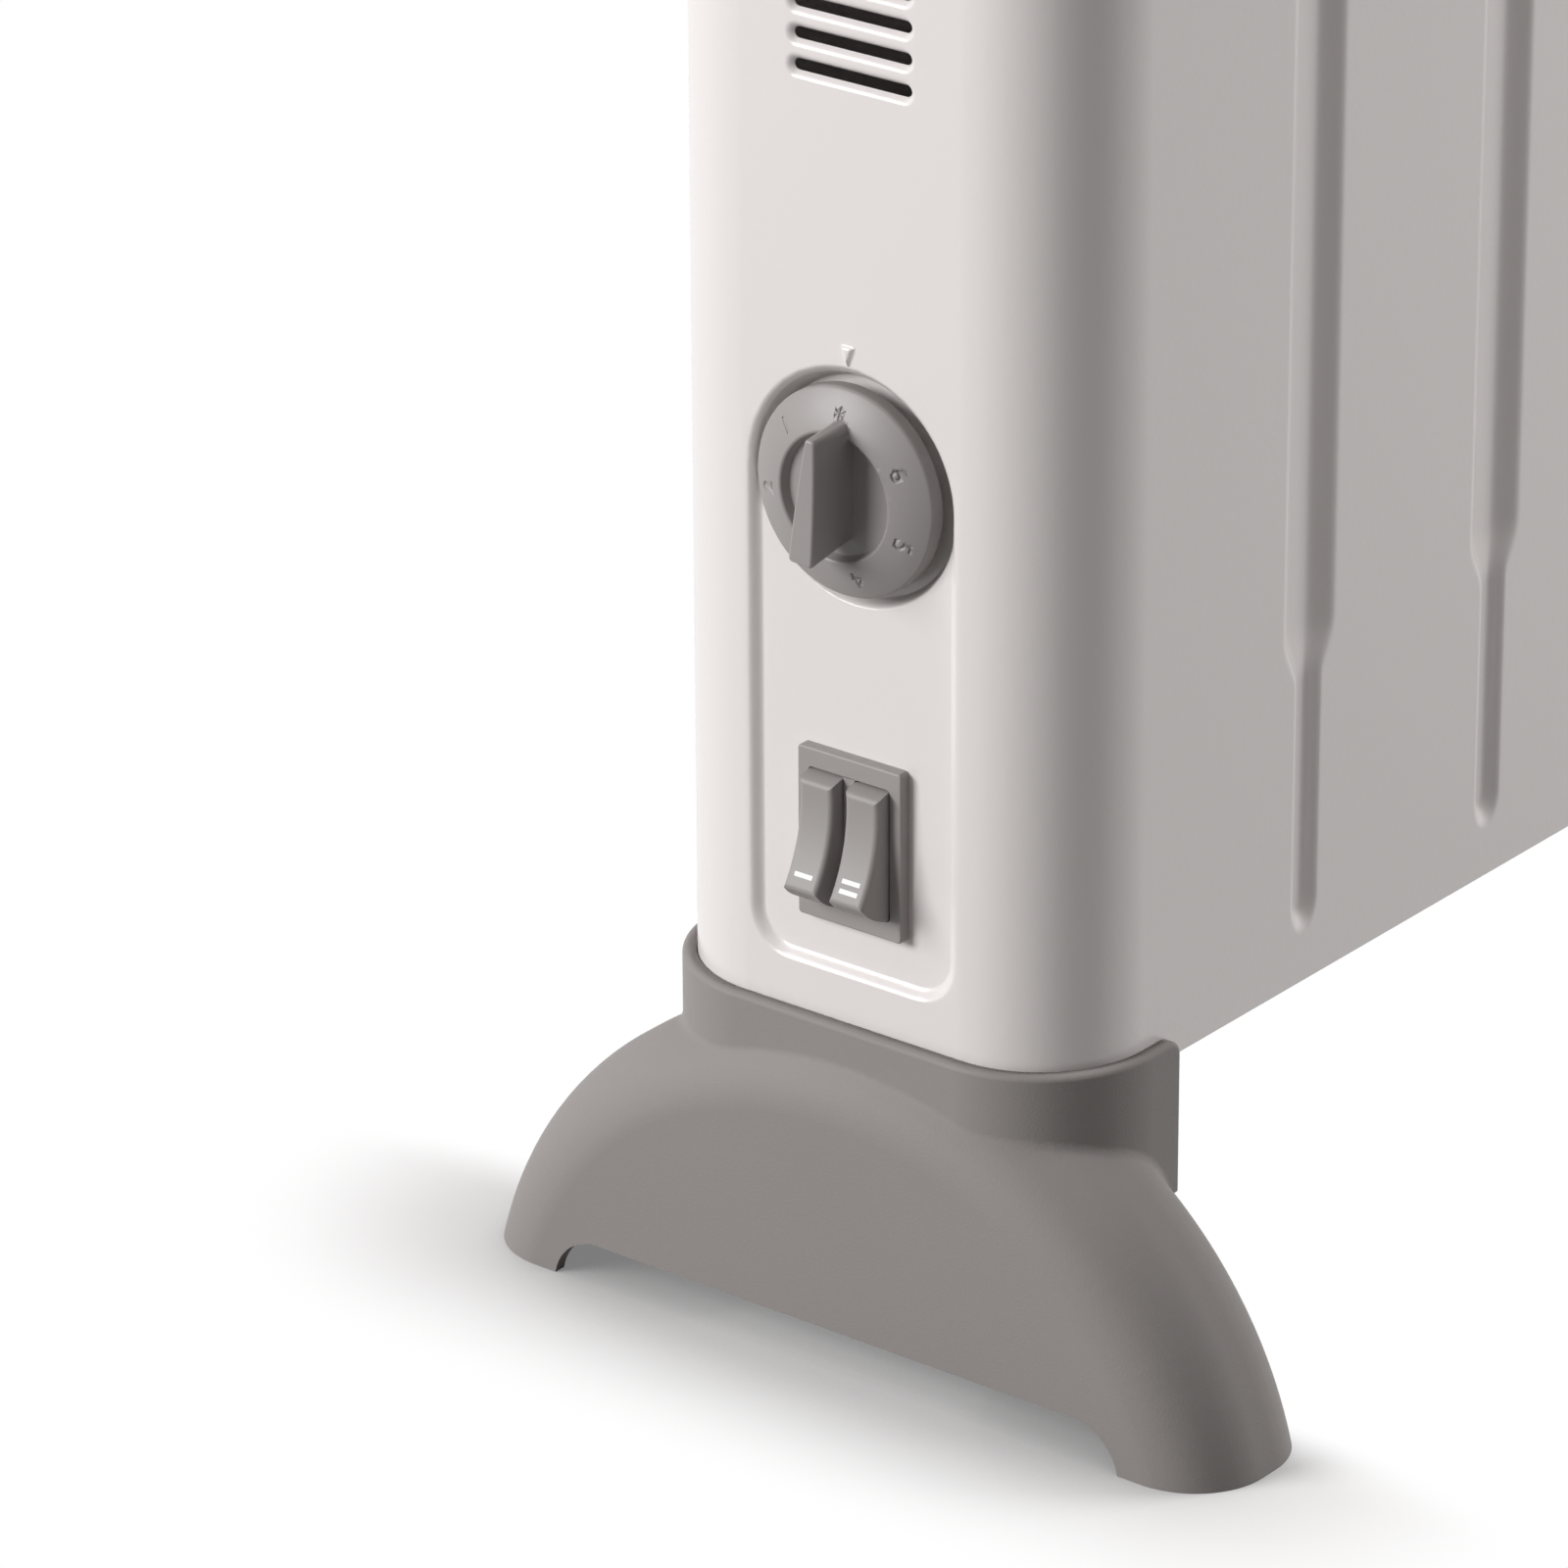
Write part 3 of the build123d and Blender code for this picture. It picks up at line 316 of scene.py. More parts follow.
def grooveRows():
    # Heights of the mesh rows, close together at both ends and at the taper
    low, high = grooveSpec["low"] - grooveSpec["rowMargin"], grooveSpec["high"] + grooveSpec["rowMargin"]
    taperLow = grooveSpec["taperLow"] - grooveSpec["taperMargin"]
    taperHigh = grooveSpec["taperLow"] + grooveSpec["taper"] + grooveSpec["taperMargin"]
    stops = (low, low + grooveSpec["tailRun"], taperLow, taperHigh, high - grooveSpec["headRun"], high)
    rows = [low]
    for index, name in enumerate(("tailSteps", "lowerSteps", "taperSteps", "upperSteps", "headSteps")):
        rows += spaced(stops[index], stops[index + 1], grooveSpec[name])[1:]
    return rows


def grooveCentres():
    edge = caseHalf - grooveSpec["fromEnd"]
    return spaced(-edge, edge, grooveSpec["count"] - 1)


def grooveDepth(x, z, centres):
    across = min((x - centre for centre in centres), key=abs)
    share = ease((z - grooveSpec["taperLow"]) / grooveSpec["taper"])
    floorHalf, run, depth = [
        grooveSpec["narrow"][name] * (1 - share) + grooveSpec["wide"][name] * share
        for name in ("floorHalf", "run", "depth")]
    ends = (floorHalf + run) / grooveSpec["endShare"]
    nearest = min(max(z, grooveSpec["low"] + ends), grooveSpec["high"] - ends)
    away = math.hypot(across, (z - nearest) * grooveSpec["endShare"])
    return depth * ease((floorHalf + run - away) / run)


def grooveStops(edge, centres):
    reach = grooveSpec["columnReach"]
    stops = [-edge]
    for centre in centres:
        stops += spaced(centre - reach, centre + reach, 2 * grooveSpec["columnSteps"])
    return stops + [edge]


# Control end: pressed recess, dial well, rolled slots and pointer
endSpec = {
    "patchHalf": 28.2, "patchLow": 76.0, "patchHigh": 410.0, "patchMerge": 1e-4,
    "recessHalf": 25.0, "recessLow": 92.1, "recessCorner": 8.0, "recessArc": 200.6,
    "recessDepth": 2.0, "recessFrom": -0.5, "recessTo": 2.5,
    "wellFrom": 23.9, "wellTo": 26.0, "wellDrop": 0.8, "wellDepth": 3.2, "bushHole": 5.2,
    "louvreCount": 9, "louvreLow": 290.2, "louvrePitch": 6.77, "louvreHalf": 15.0, "louvreRise": 1.25,
    "lipReach": 1.75, "lipDepth": 1.3,
    "pointerRight": -0.5, "pointerUp": 230.3, "pointerHalf": 2.1, "pointerLength": 5.0, "pointerRise": 0.8,
    "pointerTip": 0.15, "pointerSide": 1.0, "pointerEnd": 0.9,
    "switchHalf": 12.7, "switchLow": 104.4, "switchHigh": 138.4}
endSteps = {
    "recessCorner": 8, "recessSide": 10, "recessArc": 48, "recessWall": 7,
    "bushHole": 48, "well": 96, "wellWall": 6, "pointerAcross": 12, "pointerAlong": 14,
    "louvreEnd": 10, "louvreSide": 8, "lipShares": (0, 0.18, 0.36, 0.55, 0.76, 1)}


def recessSpread(right, up):
    half, corner = endSpec["recessHalf"], endSpec["recessCorner"]
    if up > endSpec["recessArc"]:
        return math.hypot(right, up - endSpec["recessArc"]) - half
    aside = abs(right) - (half - corner)
    below = endSpec["recessLow"] + corner - up
    if aside > 0 and below > 0:
        return math.hypot(aside, below) - corner
    return max(abs(right) - half, endSpec["recessLow"] - up)


def louvreSpread(right, up):
    index = round((up - endSpec["louvreLow"]) / endSpec["louvrePitch"])
    index = min(max(index, 0), endSpec["louvreCount"] - 1)
    middle = endSpec["louvreLow"] + index * endSpec["louvrePitch"]
    flat = endSpec["louvreHalf"] - endSpec["louvreRise"]
    aside = max(abs(right) - flat, 0.0)
    return math.hypot(aside, up - middle) - endSpec["louvreRise"]


def pointerShare(right, up):
    aside = abs(right - endSpec["pointerRight"])
    along = (up - endSpec["pointerUp"]) / endSpec["pointerLength"] + 0.5
    if along < 0 or along > 1:
        return 0.0
    width = endSpec["pointerHalf"] * (endSpec["pointerTip"] + (1 - endSpec["pointerTip"]) * along)
    ends = min(along, 1 - along) * endSpec["pointerLength"]
    return ease(min((width - aside) / endSpec["pointerSide"], ends / endSpec["pointerEnd"]))


def endDepth(right, up):
    recessSpan = endSpec["recessTo"] - endSpec["recessFrom"]
    depth = endSpec["recessDepth"] * ease((endSpec["recessTo"] - recessSpread(right, up)) / recessSpan)
    wellSpan = endSpec["wellTo"] - endSpec["wellFrom"]
    radius = math.hypot(right, up - knobJoint.z + endSpec["wellDrop"])
    depth += endSpec["wellDepth"] * ease((endSpec["wellTo"] - radius) / wellSpan)
    lip = min(max(1 - louvreSpread(right, up) / endSpec["lipReach"], 0.0), 1.0)
    return depth + endSpec["lipDepth"] * lip * lip - endSpec["pointerRise"] * pointerShare(right, up)


def arcPoints(middle, radius, start, stop, count):
    angles = [math.radians(angle) for angle in spaced(start, stop, count)]
    return [(middle[0] + radius * math.cos(angle), middle[1] + radius * math.sin(angle)) for angle in angles]


def recessLoop(spread):
    half, corner = endSpec["recessHalf"] + spread, endSpec["recessCorner"] + spread
    bend = endSpec["recessLow"] - spread + corner
    heights = spaced(bend, endSpec["recessArc"], endSteps["recessSide"])[1:-1]
    loop = arcPoints((half - corner, bend), corner, -90, 0, endSteps["recessCorner"])
    loop += [(half, up) for up in heights]
    loop += arcPoints((0, endSpec["recessArc"]), half, 0, 180, endSteps["recessArc"])
    loop += [(-half, up) for up in reversed(heights)]
    return loop + arcPoints((corner - half, bend), corner, 180, 270, endSteps["recessCorner"])


def louvreLoop(index, spread):
    middle = endSpec["louvreLow"] + index * endSpec["louvrePitch"]
    flat = endSpec["louvreHalf"] - endSpec["louvreRise"]
    reach = endSpec["louvreRise"] + spread
    along = spaced(flat, -flat, endSteps["louvreSide"])[1:-1]
    loop = arcPoints((flat, middle), reach, -90, 90, endSteps["louvreEnd"])
    loop += [(right, middle + reach) for right in along]
    loop += arcPoints((-flat, middle), reach, 90, 270, endSteps["louvreEnd"])
    return loop + [(-right, middle - reach) for right in along]


def inHole(right, up):
    if abs(right) < endSpec["switchHalf"] and endSpec["switchLow"] < up < endSpec["switchHigh"]:
        return True
    return louvreSpread(right, up) < 0 or math.hypot(right, up - knobJoint.z) < endSpec["bushHole"]


def endLoops(rowHeights):
    half = endSpec["patchHalf"]
    loops = [[(half, up) for up in rowHeights] + [(-half, up) for up in reversed(rowHeights)]]
    spreads = spaced(endSpec["recessFrom"], endSpec["recessTo"], endSteps["recessWall"])
    loops += [recessLoop(spread) for spread in spreads]
    loops.append(arcPoints((0, knobJoint.z), endSpec["bushHole"], 0, 360, endSteps["bushHole"])[:-1])
    wellMiddle = (0, knobJoint.z - endSpec["wellDrop"])
    radii = spaced(endSpec["wellFrom"], endSpec["wellTo"], endSteps["wellWall"])
    loops += [arcPoints(wellMiddle, radius, 0, 360, endSteps["well"])[:-1] for radius in radii]
    for index in range(endSpec["louvreCount"]):
        loops += [louvreLoop(index, endSpec["lipReach"] * share) for share in endSteps["lipShares"]]
    side, low, high = endSpec["switchHalf"], endSpec["switchLow"], endSpec["switchHigh"]
    return loops + [[(-side, low), (side, low), (side, high), (-side, high)]]


def endPatch(rowHeights):
    points = []
    edges = []
    for loop in endLoops(rowHeights):
        first = len(points)
        points += loop
        edges += [(first + step, first + (step + 1) % len(loop)) for step in range(len(loop))]
    middle, height, half = endSpec["pointerRight"], endSpec["pointerUp"], endSpec["pointerLength"] / 2
    reach = endSpec["pointerHalf"]
    columns = spaced(middle - reach, middle + reach, endSteps["pointerAcross"])
    heights = spaced(height - half, height + half, endSteps["pointerAlong"])
    points += [(right, up) for right in columns for up in heights]
    flat = delaunay_2d_cdt([Vector(point) for point in points], edges, [], 0, endSpec["patchMerge"])
    spots, _, faces = flat[:3]
    kept = []
    for face in faces:
        right, up = [sum(spots[index][axis] for index in face) / len(face) for axis in (0, 1)]
        if not inHole(right, up):
            kept.append(face)
    return [(-caseHalf + endDepth(right, up), -right, up) for right, up in spots], kept


# Case: one sheet wrapped round both ends, bent over at the top to the ledge of the outlet
shellSpec = {
    "corner": 27.0, "cornerSteps": 12, "bend": 14.0, "bendSteps": 8, "sheet": 1.0,
    "margin": 18.0, "edgeRound": 0.8, "edgeSteps": 4, "ledge": 5.0, "ledgeTop": 437.0, "ledgeRound": 0.4,
    "rearHalf": 330.0, "rearTop": 420.0, "flange": 12.0, "lowRow": 79.0, "highRow": 415.0}


def shellColumns(centres):
    # Each column has its place in plan, its outward direction and its side.
    corner = shellSpec["corner"]
    flatX, flatY = caseHalf - corner, depthHalf - corner

    def turn(sideX, sideY, start):
        found = []
        for angle in spaced(start, start + 90, shellSpec["cornerSteps"])[1:-1]:
            outX, outY = math.cos(math.radians(angle)), math.sin(math.radians(angle))
            found.append((sideX * flatX + corner * outX, sideY * flatY + corner * outY, outX, outY, "turn"))
        return found

    rear, patch = shellSpec["rearHalf"], endSpec["patchHalf"]
    columns = [(x, -depthHalf, 0, -1, "front") for x in grooveStops(flatX, centres)]
    columns += turn(1, -1, -90)
    columns += [(caseHalf, y, 1, 0, "far") for y in (-flatY, flatY)]
    columns += turn(1, 1, 0)
    columns += [(x, depthHalf, 0, 1, "rear") for x in (flatX, rear, -rear, -flatX)]
    columns += turn(-1, 1, 90)
    columns += [(-caseHalf, y, -1, 0, "control") for y in (flatY, patch, -patch, -flatY)]
    return columns + turn(-1, -1, 180)


def shellRows():
    # Each row has its distance in from the outside of the case, and its height.
    bend, margin, edge = shellSpec["bend"], shellSpec["margin"], shellSpec["edgeRound"]
    heights = [caseBottom, endSpec["patchLow"], shellSpec["lowRow"], *grooveRows(), endSpec["patchHigh"]]
    heights += [shellSpec["highRow"], shellSpec["rearTop"], caseTop - bend]
    rows = [(0.0, z) for z in heights]
    for angle in spaced(0, math.pi / 2, shellSpec["bendSteps"])[1:]:
        rows.append((bend * (1 - math.cos(angle)), caseTop - bend + bend * math.sin(angle)))
    for angle in spaced(0, math.pi / 2, shellSpec["edgeSteps"]):
        rows.append((margin - edge + edge * math.sin(angle), caseTop - edge + edge * math.cos(angle)))
    ledgeTop, small = shellSpec["ledgeTop"], shellSpec["ledgeRound"]
    rows += [(margin, ledgeTop + small), (margin + small, ledgeTop)]
    return rows + [(margin + shellSpec["ledge"], ledgeTop)]


def rearFlange(rows):
    rear, reach, back = shellSpec["rearHalf"], shellSpec["flange"], depthHalf - shellSpec["sheet"]
    top = shellSpec["rearTop"]
    heights = [z for inset, z in rows if inset == 0 and z <= top]
    points = []
    faces = []
    for side in (-1, 1):
        for z in heights:
            start = len(points)
            points += [(side * rear, depthHalf, z), (side * rear, back, z), (side * (rear - reach), back, z)]
            if z > heights[0]:
                strips = [(step - 3, step - 2, step + 1, step) for step in (start, start + 1)]
                faces += [strip if side < 0 else strip[::-1] for strip in strips]
    start = len(points)
    inner = rear - reach
    points += [(-inner, depthHalf, top), (inner, depthHalf, top), (inner, back, top), (-inner, back, top)]
    points += [(-inner, back, top - reach), (inner, back, top - reach)]
    faces += [(start, start + 1, start + 2, start + 3), (start + 3, start + 2, start + 5, start + 4)]
    return points, [face[::-1] for face in faces]


def caseShell():
    centres = grooveCentres()
    columns, rows = shellColumns(centres), shellRows()
    points = []
    for x, y, outX, outY, side in columns:
        for inset, z in rows:
            inward = inset + (grooveDepth(x, z, centres) if side == "front" and inset == 0 else 0.0)
            points.append((x - outX * inward, y - outY * inward, z))
    faces = []
    for column, (x, y, _, _, side) in enumerate(columns):
        after = (column + 1) % len(columns)
        nextX, nextY, _, _, nextSide = columns[after]
        openRear = side == nextSide == "rear" and math.isclose(x, -nextX)
        openEnd = side == nextSide == "control" and math.isclose(y, -nextY)
        for row in range(len(rows) - 1):
            low, high = rows[row][1], rows[row + 1][1]
            if openRear and rows[row + 1][0] == 0 and high <= shellSpec["rearTop"]:
                continue
            if openEnd and endSpec["patchLow"] <= low and high <= endSpec["patchHigh"] and rows[row][0] == 0:
                continue
            first, second = column * len(rows) + row, after * len(rows) + row
            faces.append((first, second, second + 1, first + 1))
    heights = [z for inset, z in rows if inset == 0 and endSpec["patchLow"] <= z <= endSpec["patchHigh"]]
    for corners, kept in (endPatch(heights), rearFlange(rows)):
        start = len(points)
        points += corners
        faces += [tuple(start + index for index in face) for face in kept]
    return thickened(meshOf("caseShell", points, faces), shellSpec["sheet"])


place("caseShell", caseShell(), finishes["white_paint"], "case", ["front_shell"])
print("case shell placed")


# Rear panel with the same grooves
def rearPanel():
    low, high = [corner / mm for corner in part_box("rear_panel")]
    centres = grooveCentres()
    stops = grooveStops(high.x, centres)
    heights = [low.z, shellSpec["lowRow"], *grooveRows(), high.z]
    points = [(x, high.y - grooveDepth(x, z, centres), z) for x in stops for z in heights]
    faces = []
    for column in range(len(stops) - 1):
        for row in range(len(heights) - 1):
            first = column * len(heights) + row
            faces.append((first, first + 1, first + len(heights) + 1, first + len(heights)))
    return thickened(meshOf("rearPanel", points, faces), shellSpec["sheet"])


place("rearPanel", rearPanel(), finishes["white_paint"], "case", ["rear_panel"])
print("rear panel placed")


# Geometry Nodes trees
class Tree:
    def __init__(self, name):
        self.group = bpy.data.node_groups.new(name, "GeometryNodeTree")
        self.group.interface.new_socket("Geometry", in_out="INPUT", socket_type="NodeSocketGeometry")
        self.group.interface.new_socket("Geometry", in_out="OUTPUT", socket_type="NodeSocketGeometry")
        self.entry = self.group.nodes.new("NodeGroupInput")
        self.exit = self.group.nodes.new("NodeGroupOutput")

    def knob(self, name, kind):
        self.group.interface.new_socket(name, in_out="INPUT", socket_type=kind)
        return self.entry.outputs[name]

    def add(self, kind, settings, values, output=0):
        node = self.group.nodes.new(kind)
        for key, value in settings.items():
            setattr(node, key, value)
        for key, value in values.items():
            for part in value if isinstance(value, list) else [value]:
                if isinstance(part, bpy.types.NodeSocket):
                    self.group.links.new(part, node.inputs[key])
                else:
                    node.inputs[key].default_value = part
        return node.outputs[output]

    def end(self, geometry):
        self.group.links.new(geometry, self.exit.inputs[0])
        return self

    def grow(self, mesh, values):
        holder = bpy.data.objects.new("holder", mesh)
        modifier = holder.modifiers.new("grow", "NODES")
        modifier.node_group = self.group
        for item in self.group.interface.items_tree:
            if item.in_out == "INPUT" and item.name in values:
                modifier[item.identifier] = values[item.name]
        return plainMesh(holder)


rimSpec = {"roundShare": 0.499, "roundSteps": 5, "beadSides": 8}


def slotRimTree():
    # Two rows of rolled rims, one round every slot of a plate.
    tree = Tree("slotRims")
    count = tree.knob("Count", "NodeSocketInt")
    pitch, offset, height = [tree.knob(name, "NodeSocketFloat") for name in ("Pitch", "Row Offset", "Height")]
    length, width, bead = [tree.knob(name, "NodeSocketFloat") for name in ("Length", "Width", "Bead")]
    finish = tree.knob("Finish", "NodeSocketMaterial")
    outline = tree.add("GeometryNodeCurvePrimitiveQuadrilateral", {}, {"Width": width, "Height": length})
    radius = tree.add("ShaderNodeMath", {"operation": "MULTIPLY"}, {0: width, 1: rimSpec["roundShare"]})
    outline = tree.add("GeometryNodeFilletCurve", {"mode": "POLY"}, {
        "Curve": outline, "Radius": radius, "Count": rimSpec["roundSteps"]})
    profile = tree.add("GeometryNodeCurvePrimitiveCircle", {}, {
        "Resolution": rimSpec["beadSides"], "Radius": bead})
    rim = tree.add("GeometryNodeCurveToMesh", {}, {"Curve": outline, "Profile Curve": profile})
    span = tree.add("ShaderNodeMath", {"operation": "SUBTRACT"}, {0: count, 1: 1.0})
    start = tree.add("ShaderNodeMath", {"operation": "MULTIPLY"}, {0: span, 1: pitch})
    start = tree.add("ShaderNodeMath", {"operation": "MULTIPLY"}, {0: start, 1: -0.5})
    step = tree.add("ShaderNodeCombineXYZ", {}, {"X": pitch})
    rows = []
    for side in (-1.0, 1.0):
        aside = tree.add("ShaderNodeMath", {"operation": "MULTIPLY"}, {0: offset, 1: side})
        first = tree.add("ShaderNodeCombineXYZ", {}, {"X": start, "Y": aside, "Z": height})
        rows.append(tree.add("GeometryNodeMeshLine", {}, {
            "Count": count, "Start Location": first, "Offset": step}))
    points = tree.add("GeometryNodeJoinGeometry", {}, {"Geometry": rows})
    rims = tree.add("GeometryNodeInstanceOnPoints", {}, {"Points": points, "Instance": rim})
    rims = tree.add("GeometryNodeRealizeInstances", {}, {"Geometry": rims})
    rims = tree.add("GeometryNodeSetShadeSmooth", {}, {"Geometry": rims, "Shade Smooth": True})
    both = tree.add("GeometryNodeJoinGeometry", {}, {"Geometry": [rims, tree.entry.outputs[0]]})
    return tree.end(tree.add("GeometryNodeSetMaterial", {}, {"Geometry": both, "Material": finish}))


slotRims = slotRimTree()
grilleSpec = {"Count": 66, "Pitch": 9.6 * mm, "Row Offset": 17.4 * mm, "Height": 437.5 * mm,
              "Length": 28.0 * mm, "Width": 6.0 * mm, "Bead": 0.65 * mm}
traySpec = {"Count": 43, "Pitch": 13.0 * mm, "Row Offset": 23.0 * mm, "Height": 74.6 * mm,
            "Length": 37.0 * mm, "Width": 7.0 * mm, "Bead": 0.75 * mm}
for name, node, slotName, spec in (("outletGrille", "top_grille", "white_paint", grilleSpec),
                                   ("intakeTray", "base_tray", "zinc_steel", traySpec)):
    plate = slotRims.grow(cadCopy(node), {**spec, "Finish": finishes[slotName].material})
    place(name, plate, finishes[slotName], "case", [node])
print("slotted plates placed")


# Smooth copies of the other CAD nodes, by slot and body
copied = {
    "grey_plastic": {"case": ["control_foot", "far_foot", "cord_gland", "gland_nut"]},
    "switch_plastic": {"case": ["switch_housing"]},
    "rocker_plastic": {"left_rocker_body": ["left_rocker"], "right_rocker_body": ["right_rocker"]},
    "zinc_steel": {
        "case": ["thermostat_frame", "control_bulkhead", "far_bracket", "rear_panel_screws", "foot_screws",
                 "tray_screws", "thermostat_screws", "bulkhead_screws"],
        "knob": ["thermostat_shaft"]},
    "dark_phenolic": {"case": ["thermostat_block", "terminal_block", "thermal_cutout"]},
    "brass_contacts": {"case": ["bimetal_strip", "thermostat_terminals", "switch_terminals", "neutral_link"]},
    "shield_aluminium": {"case": ["front_heat_shield", "rear_heat_shield"]},
    "fin_aluminium": {"case": ["front_element_fins", "rear_element_fins"]},
    "rod_steel": {"case": ["front_element_rod", "rear_element_rod"]},
    "ceramic_white": {"case": ["element_bushes"]},
    "wire_sleeve": {"case": ["wiring_leads"]}}
for slotName, bodies in copied.items():
    for body, nodes in bodies.items():
        for node in nodes:
            words = node.split("_")
            name = words[0] + "".join(word.capitalize() for word in words[1:]) + "Look"
            place(name, cadCopy(node), finishes[slotName], body, [node])
print("smooth copies placed")


# Dial with its numbers cut into the slope
dialSpec = {
    "signs": "*123456", "turn": -2.4, "step": 50.0, "radius": 18.3, "size": 5.8, "starSize": 6.6,
    "depth": 0.24, "above": 0.8, "bulge": 0.5,
    "crown": 5.9, "crownRadius": 14.0, "rim": 1.9, "rimRadius": 23.0}


def signMesh(sign, size, rise):
    curve = bpy.data.curves.new("sign", "FONT")
    curve.body = sign
    curve.size = size * mm
    curve.extrude = rise * mm
    mesh = plainMesh(bpy.data.objects.new("holder", curve))
    across = [corner.co.x for corner in mesh.vertices]
    along = [corner.co.y for corner in mesh.vertices]
    middle = Vector((min(across) + max(across), min(along) + max(along), 0)) / 2
    mesh.transform(Matrix.Translation(-middle))
    return mesh


def dialSigns():
    joined = bmesh.new()
    fall = (dialSpec["crown"] - dialSpec["rim"]) / (dialSpec["rimRadius"] - dialSpec["crownRadius"])
    level = dialSpec["crown"] - fall * (dialSpec["radius"] - dialSpec["crownRadius"]) + dialSpec["bulge"]
    rise = (dialSpec["depth"] + dialSpec["above"]) / 2
    for index, sign in enumerate(dialSpec["signs"]):
        angle = math.radians(dialSpec["turn"] + index * dialSpec["step"])
        mesh = signMesh(sign, dialSpec["starSize" if sign == "*" else "size"], rise)
        seat = Matrix.Translation(Vector((0, dialSpec["radius"], level)) * mm)
        lift = Matrix.Translation((0, 0, (rise - dialSpec["depth"]) * mm))
        turn = Matrix.Rotation(angle, 4, "Z") @ seat @ Matrix.Rotation(-math.atan(fall), 4, "X") @ lift
        mesh.transform(endFrame(0, knobJoint.z, 0) @ turn)
        joined.from_mesh(mesh)
    mesh = bpy.data.meshes.new("dialSigns")
    joined.to_mesh(mesh)
    joined.free()
    return cleaned(mesh, meshSpec["fineMerge"], meshSpec["signAngle"])


def markedDial():
    cutter = bpy.data.objects.new("cutter", dialSigns())
    bpy.context.scene.collection.objects.link(cutter)
    cut = {"operation": "DIFFERENCE", "solver": "EXACT", "object": cutter}
    dial = settled(cadMesh("thermostat_knob"), "BOOLEAN", cut)
    bpy.data.objects.remove(cutter)
    return settled(cleaned(dial, meshSpec["fineMerge"], meshSpec["cadAngle"]), *evenNormals)


place("markedDial", markedDial(), finishes["knob_plastic"], "knob", ["thermostat_knob"])
print("marked dial placed")


# Bars printed near the lower ends of the rockers
barSpec = {
    "radius": 14.8, "halfAngle": 51.0, "dish": 2.0, "tilt": 14.0, "half": 2.35, "tall": 1.0, "skin": 0.04,
    "steps": 4, "left": (-8.4,), "right": (-6.9, -9.0)}


def rockerFace(along):
    half = math.radians(barSpec["halfAngle"])
    edge, level = barSpec["radius"] * math.sin(half), barSpec["radius"] * math.cos(half)
    curve = (edge * edge + barSpec["dish"] ** 2) / (2 * barSpec["dish"])
    return level - barSpec["dish"] + curve - math.sqrt(curve * curve - along * along)


def rockerBars(heights, joint):
    half, rise = barSpec["half"], barSpec["tall"] / 2
    points = []
    faces = []
    for height in heights:
        first = len(points)
        for along in spaced(height - rise, height + rise, barSpec["steps"]):
            out = rockerFace(along) + barSpec["skin"]
            points += [(-half, along, out), (half, along, out)]
        starts = [first + 2 * step for step in range(barSpec["steps"])]
        faces += [(start, start + 1, start + 3, start + 2) for start in starts]
    mesh = meshOf("rockerBars", points, faces)
    seat = endFrame(-joint.y, joint.z, -joint.x - caseHalf)
    mesh.transform(seat @ Matrix.Rotation(math.radians(-barSpec["tilt"]), 4, "X"))
    return thickened(mesh, 2 * barSpec["skin"])


for side, joint in (("left", leftJoint), ("right", rightJoint)):
    bars = rockerBars(barSpec[side], joint)
    place(side + "RockerBars", bars, whitePrint, side + "_rocker_body")
print("rocker bars placed")


# Floor, light and camera. The floor and the lamps are in metres.
stageSpec = {
    "floorHalf": 8.0, "shownTone": tone(0.95, 0.925, 0.92), "bounceTone": tone(0.23, 0.225, 0.22),
    "footPlace": 0.352, "footHalf": 0.095, "inward": 3.0, "shadeReach": 0.015, "shadeFade": 0.055,
    "paintedShadeReach": 0.06, "paintedShadeSamples": 16, "plain": 0.2, "ambient": 0.17, "backdrop": 1.0}
whiteTone = tone(1.0, 1.0, 1.0)
backdropRays = ("Is Glossy Ray", "Is Transmission Ray")


def floorFinish():
    # Real lamp shade close to the feet, plus painted contact shade: ambient occlusion darkens the floor
    # colour there. Plain white for the camera further away.
    finish = Finish("paleFloor")
    path = finish.add("ShaderNodeLightPath", {}, {}).socket.node
    seen = Wire(finish, path.outputs["Is Camera Ray"])
    for ray in backdropRays:
        seen = seen.maths("MAXIMUM", seen, Wire(finish, path.outputs[ray]))
    # Painted shade: the ambient occlusion below blends the floor's shown colour toward black round the feet,
    # as a contact shadow.
    openness = finish.add("ShaderNodeAmbientOcclusion", {"samples": stageSpec["paintedShadeSamples"]}, {
        "Distance": stageSpec["paintedShadeReach"]}, "AO")
    paintedShadeTone = finish.blend(1.0 - openness, stageSpec["shownTone"], tone(0.0, 0.0, 0.0))
    finish.look({
        "Base Color": finish.blend(seen, stageSpec["bounceTone"], paintedShadeTone),
        "Roughness": 0.9, "Specular IOR Level": 0.0})
    split = finish.add("ShaderNodeSeparateXYZ", {}, {0: finish.place}).socket.node
    along, across = [Wire(finish, split.outputs[index]) for index in (0, 1)]
    outward = (along * along) ** 0.5 - stageSpec["footPlace"]
    aside = outward.maths("MAXIMUM", outward, outward * -stageSpec["inward"])
    beyond = (across * across) ** 0.5 - stageSpec["footHalf"]
    beyond = beyond.maths("MAXIMUM", beyond, 0.0)
    away = (aside * aside + beyond * beyond) ** 0.5
    share = finish.add("ShaderNodeMapRange", {"interpolation_type": "SMOOTHSTEP"}, {
        "Value": away, "From Min": stageSpec["shadeReach"],
        "From Max": stageSpec["shadeReach"] + stageSpec["shadeFade"], "To Min": stageSpec["plain"]})
    glow = finish.add("ShaderNodeEmission", {}, {"Color": whiteTone, "Strength": stageSpec["backdrop"]})
    mixed = finish.add("ShaderNodeMixShader", {}, {
        0: seen * share, 1: Wire(finish, finish.shader.outputs[0]), 2: glow})
    finish.feed(finish.output.inputs[0], mixed)
    return finish


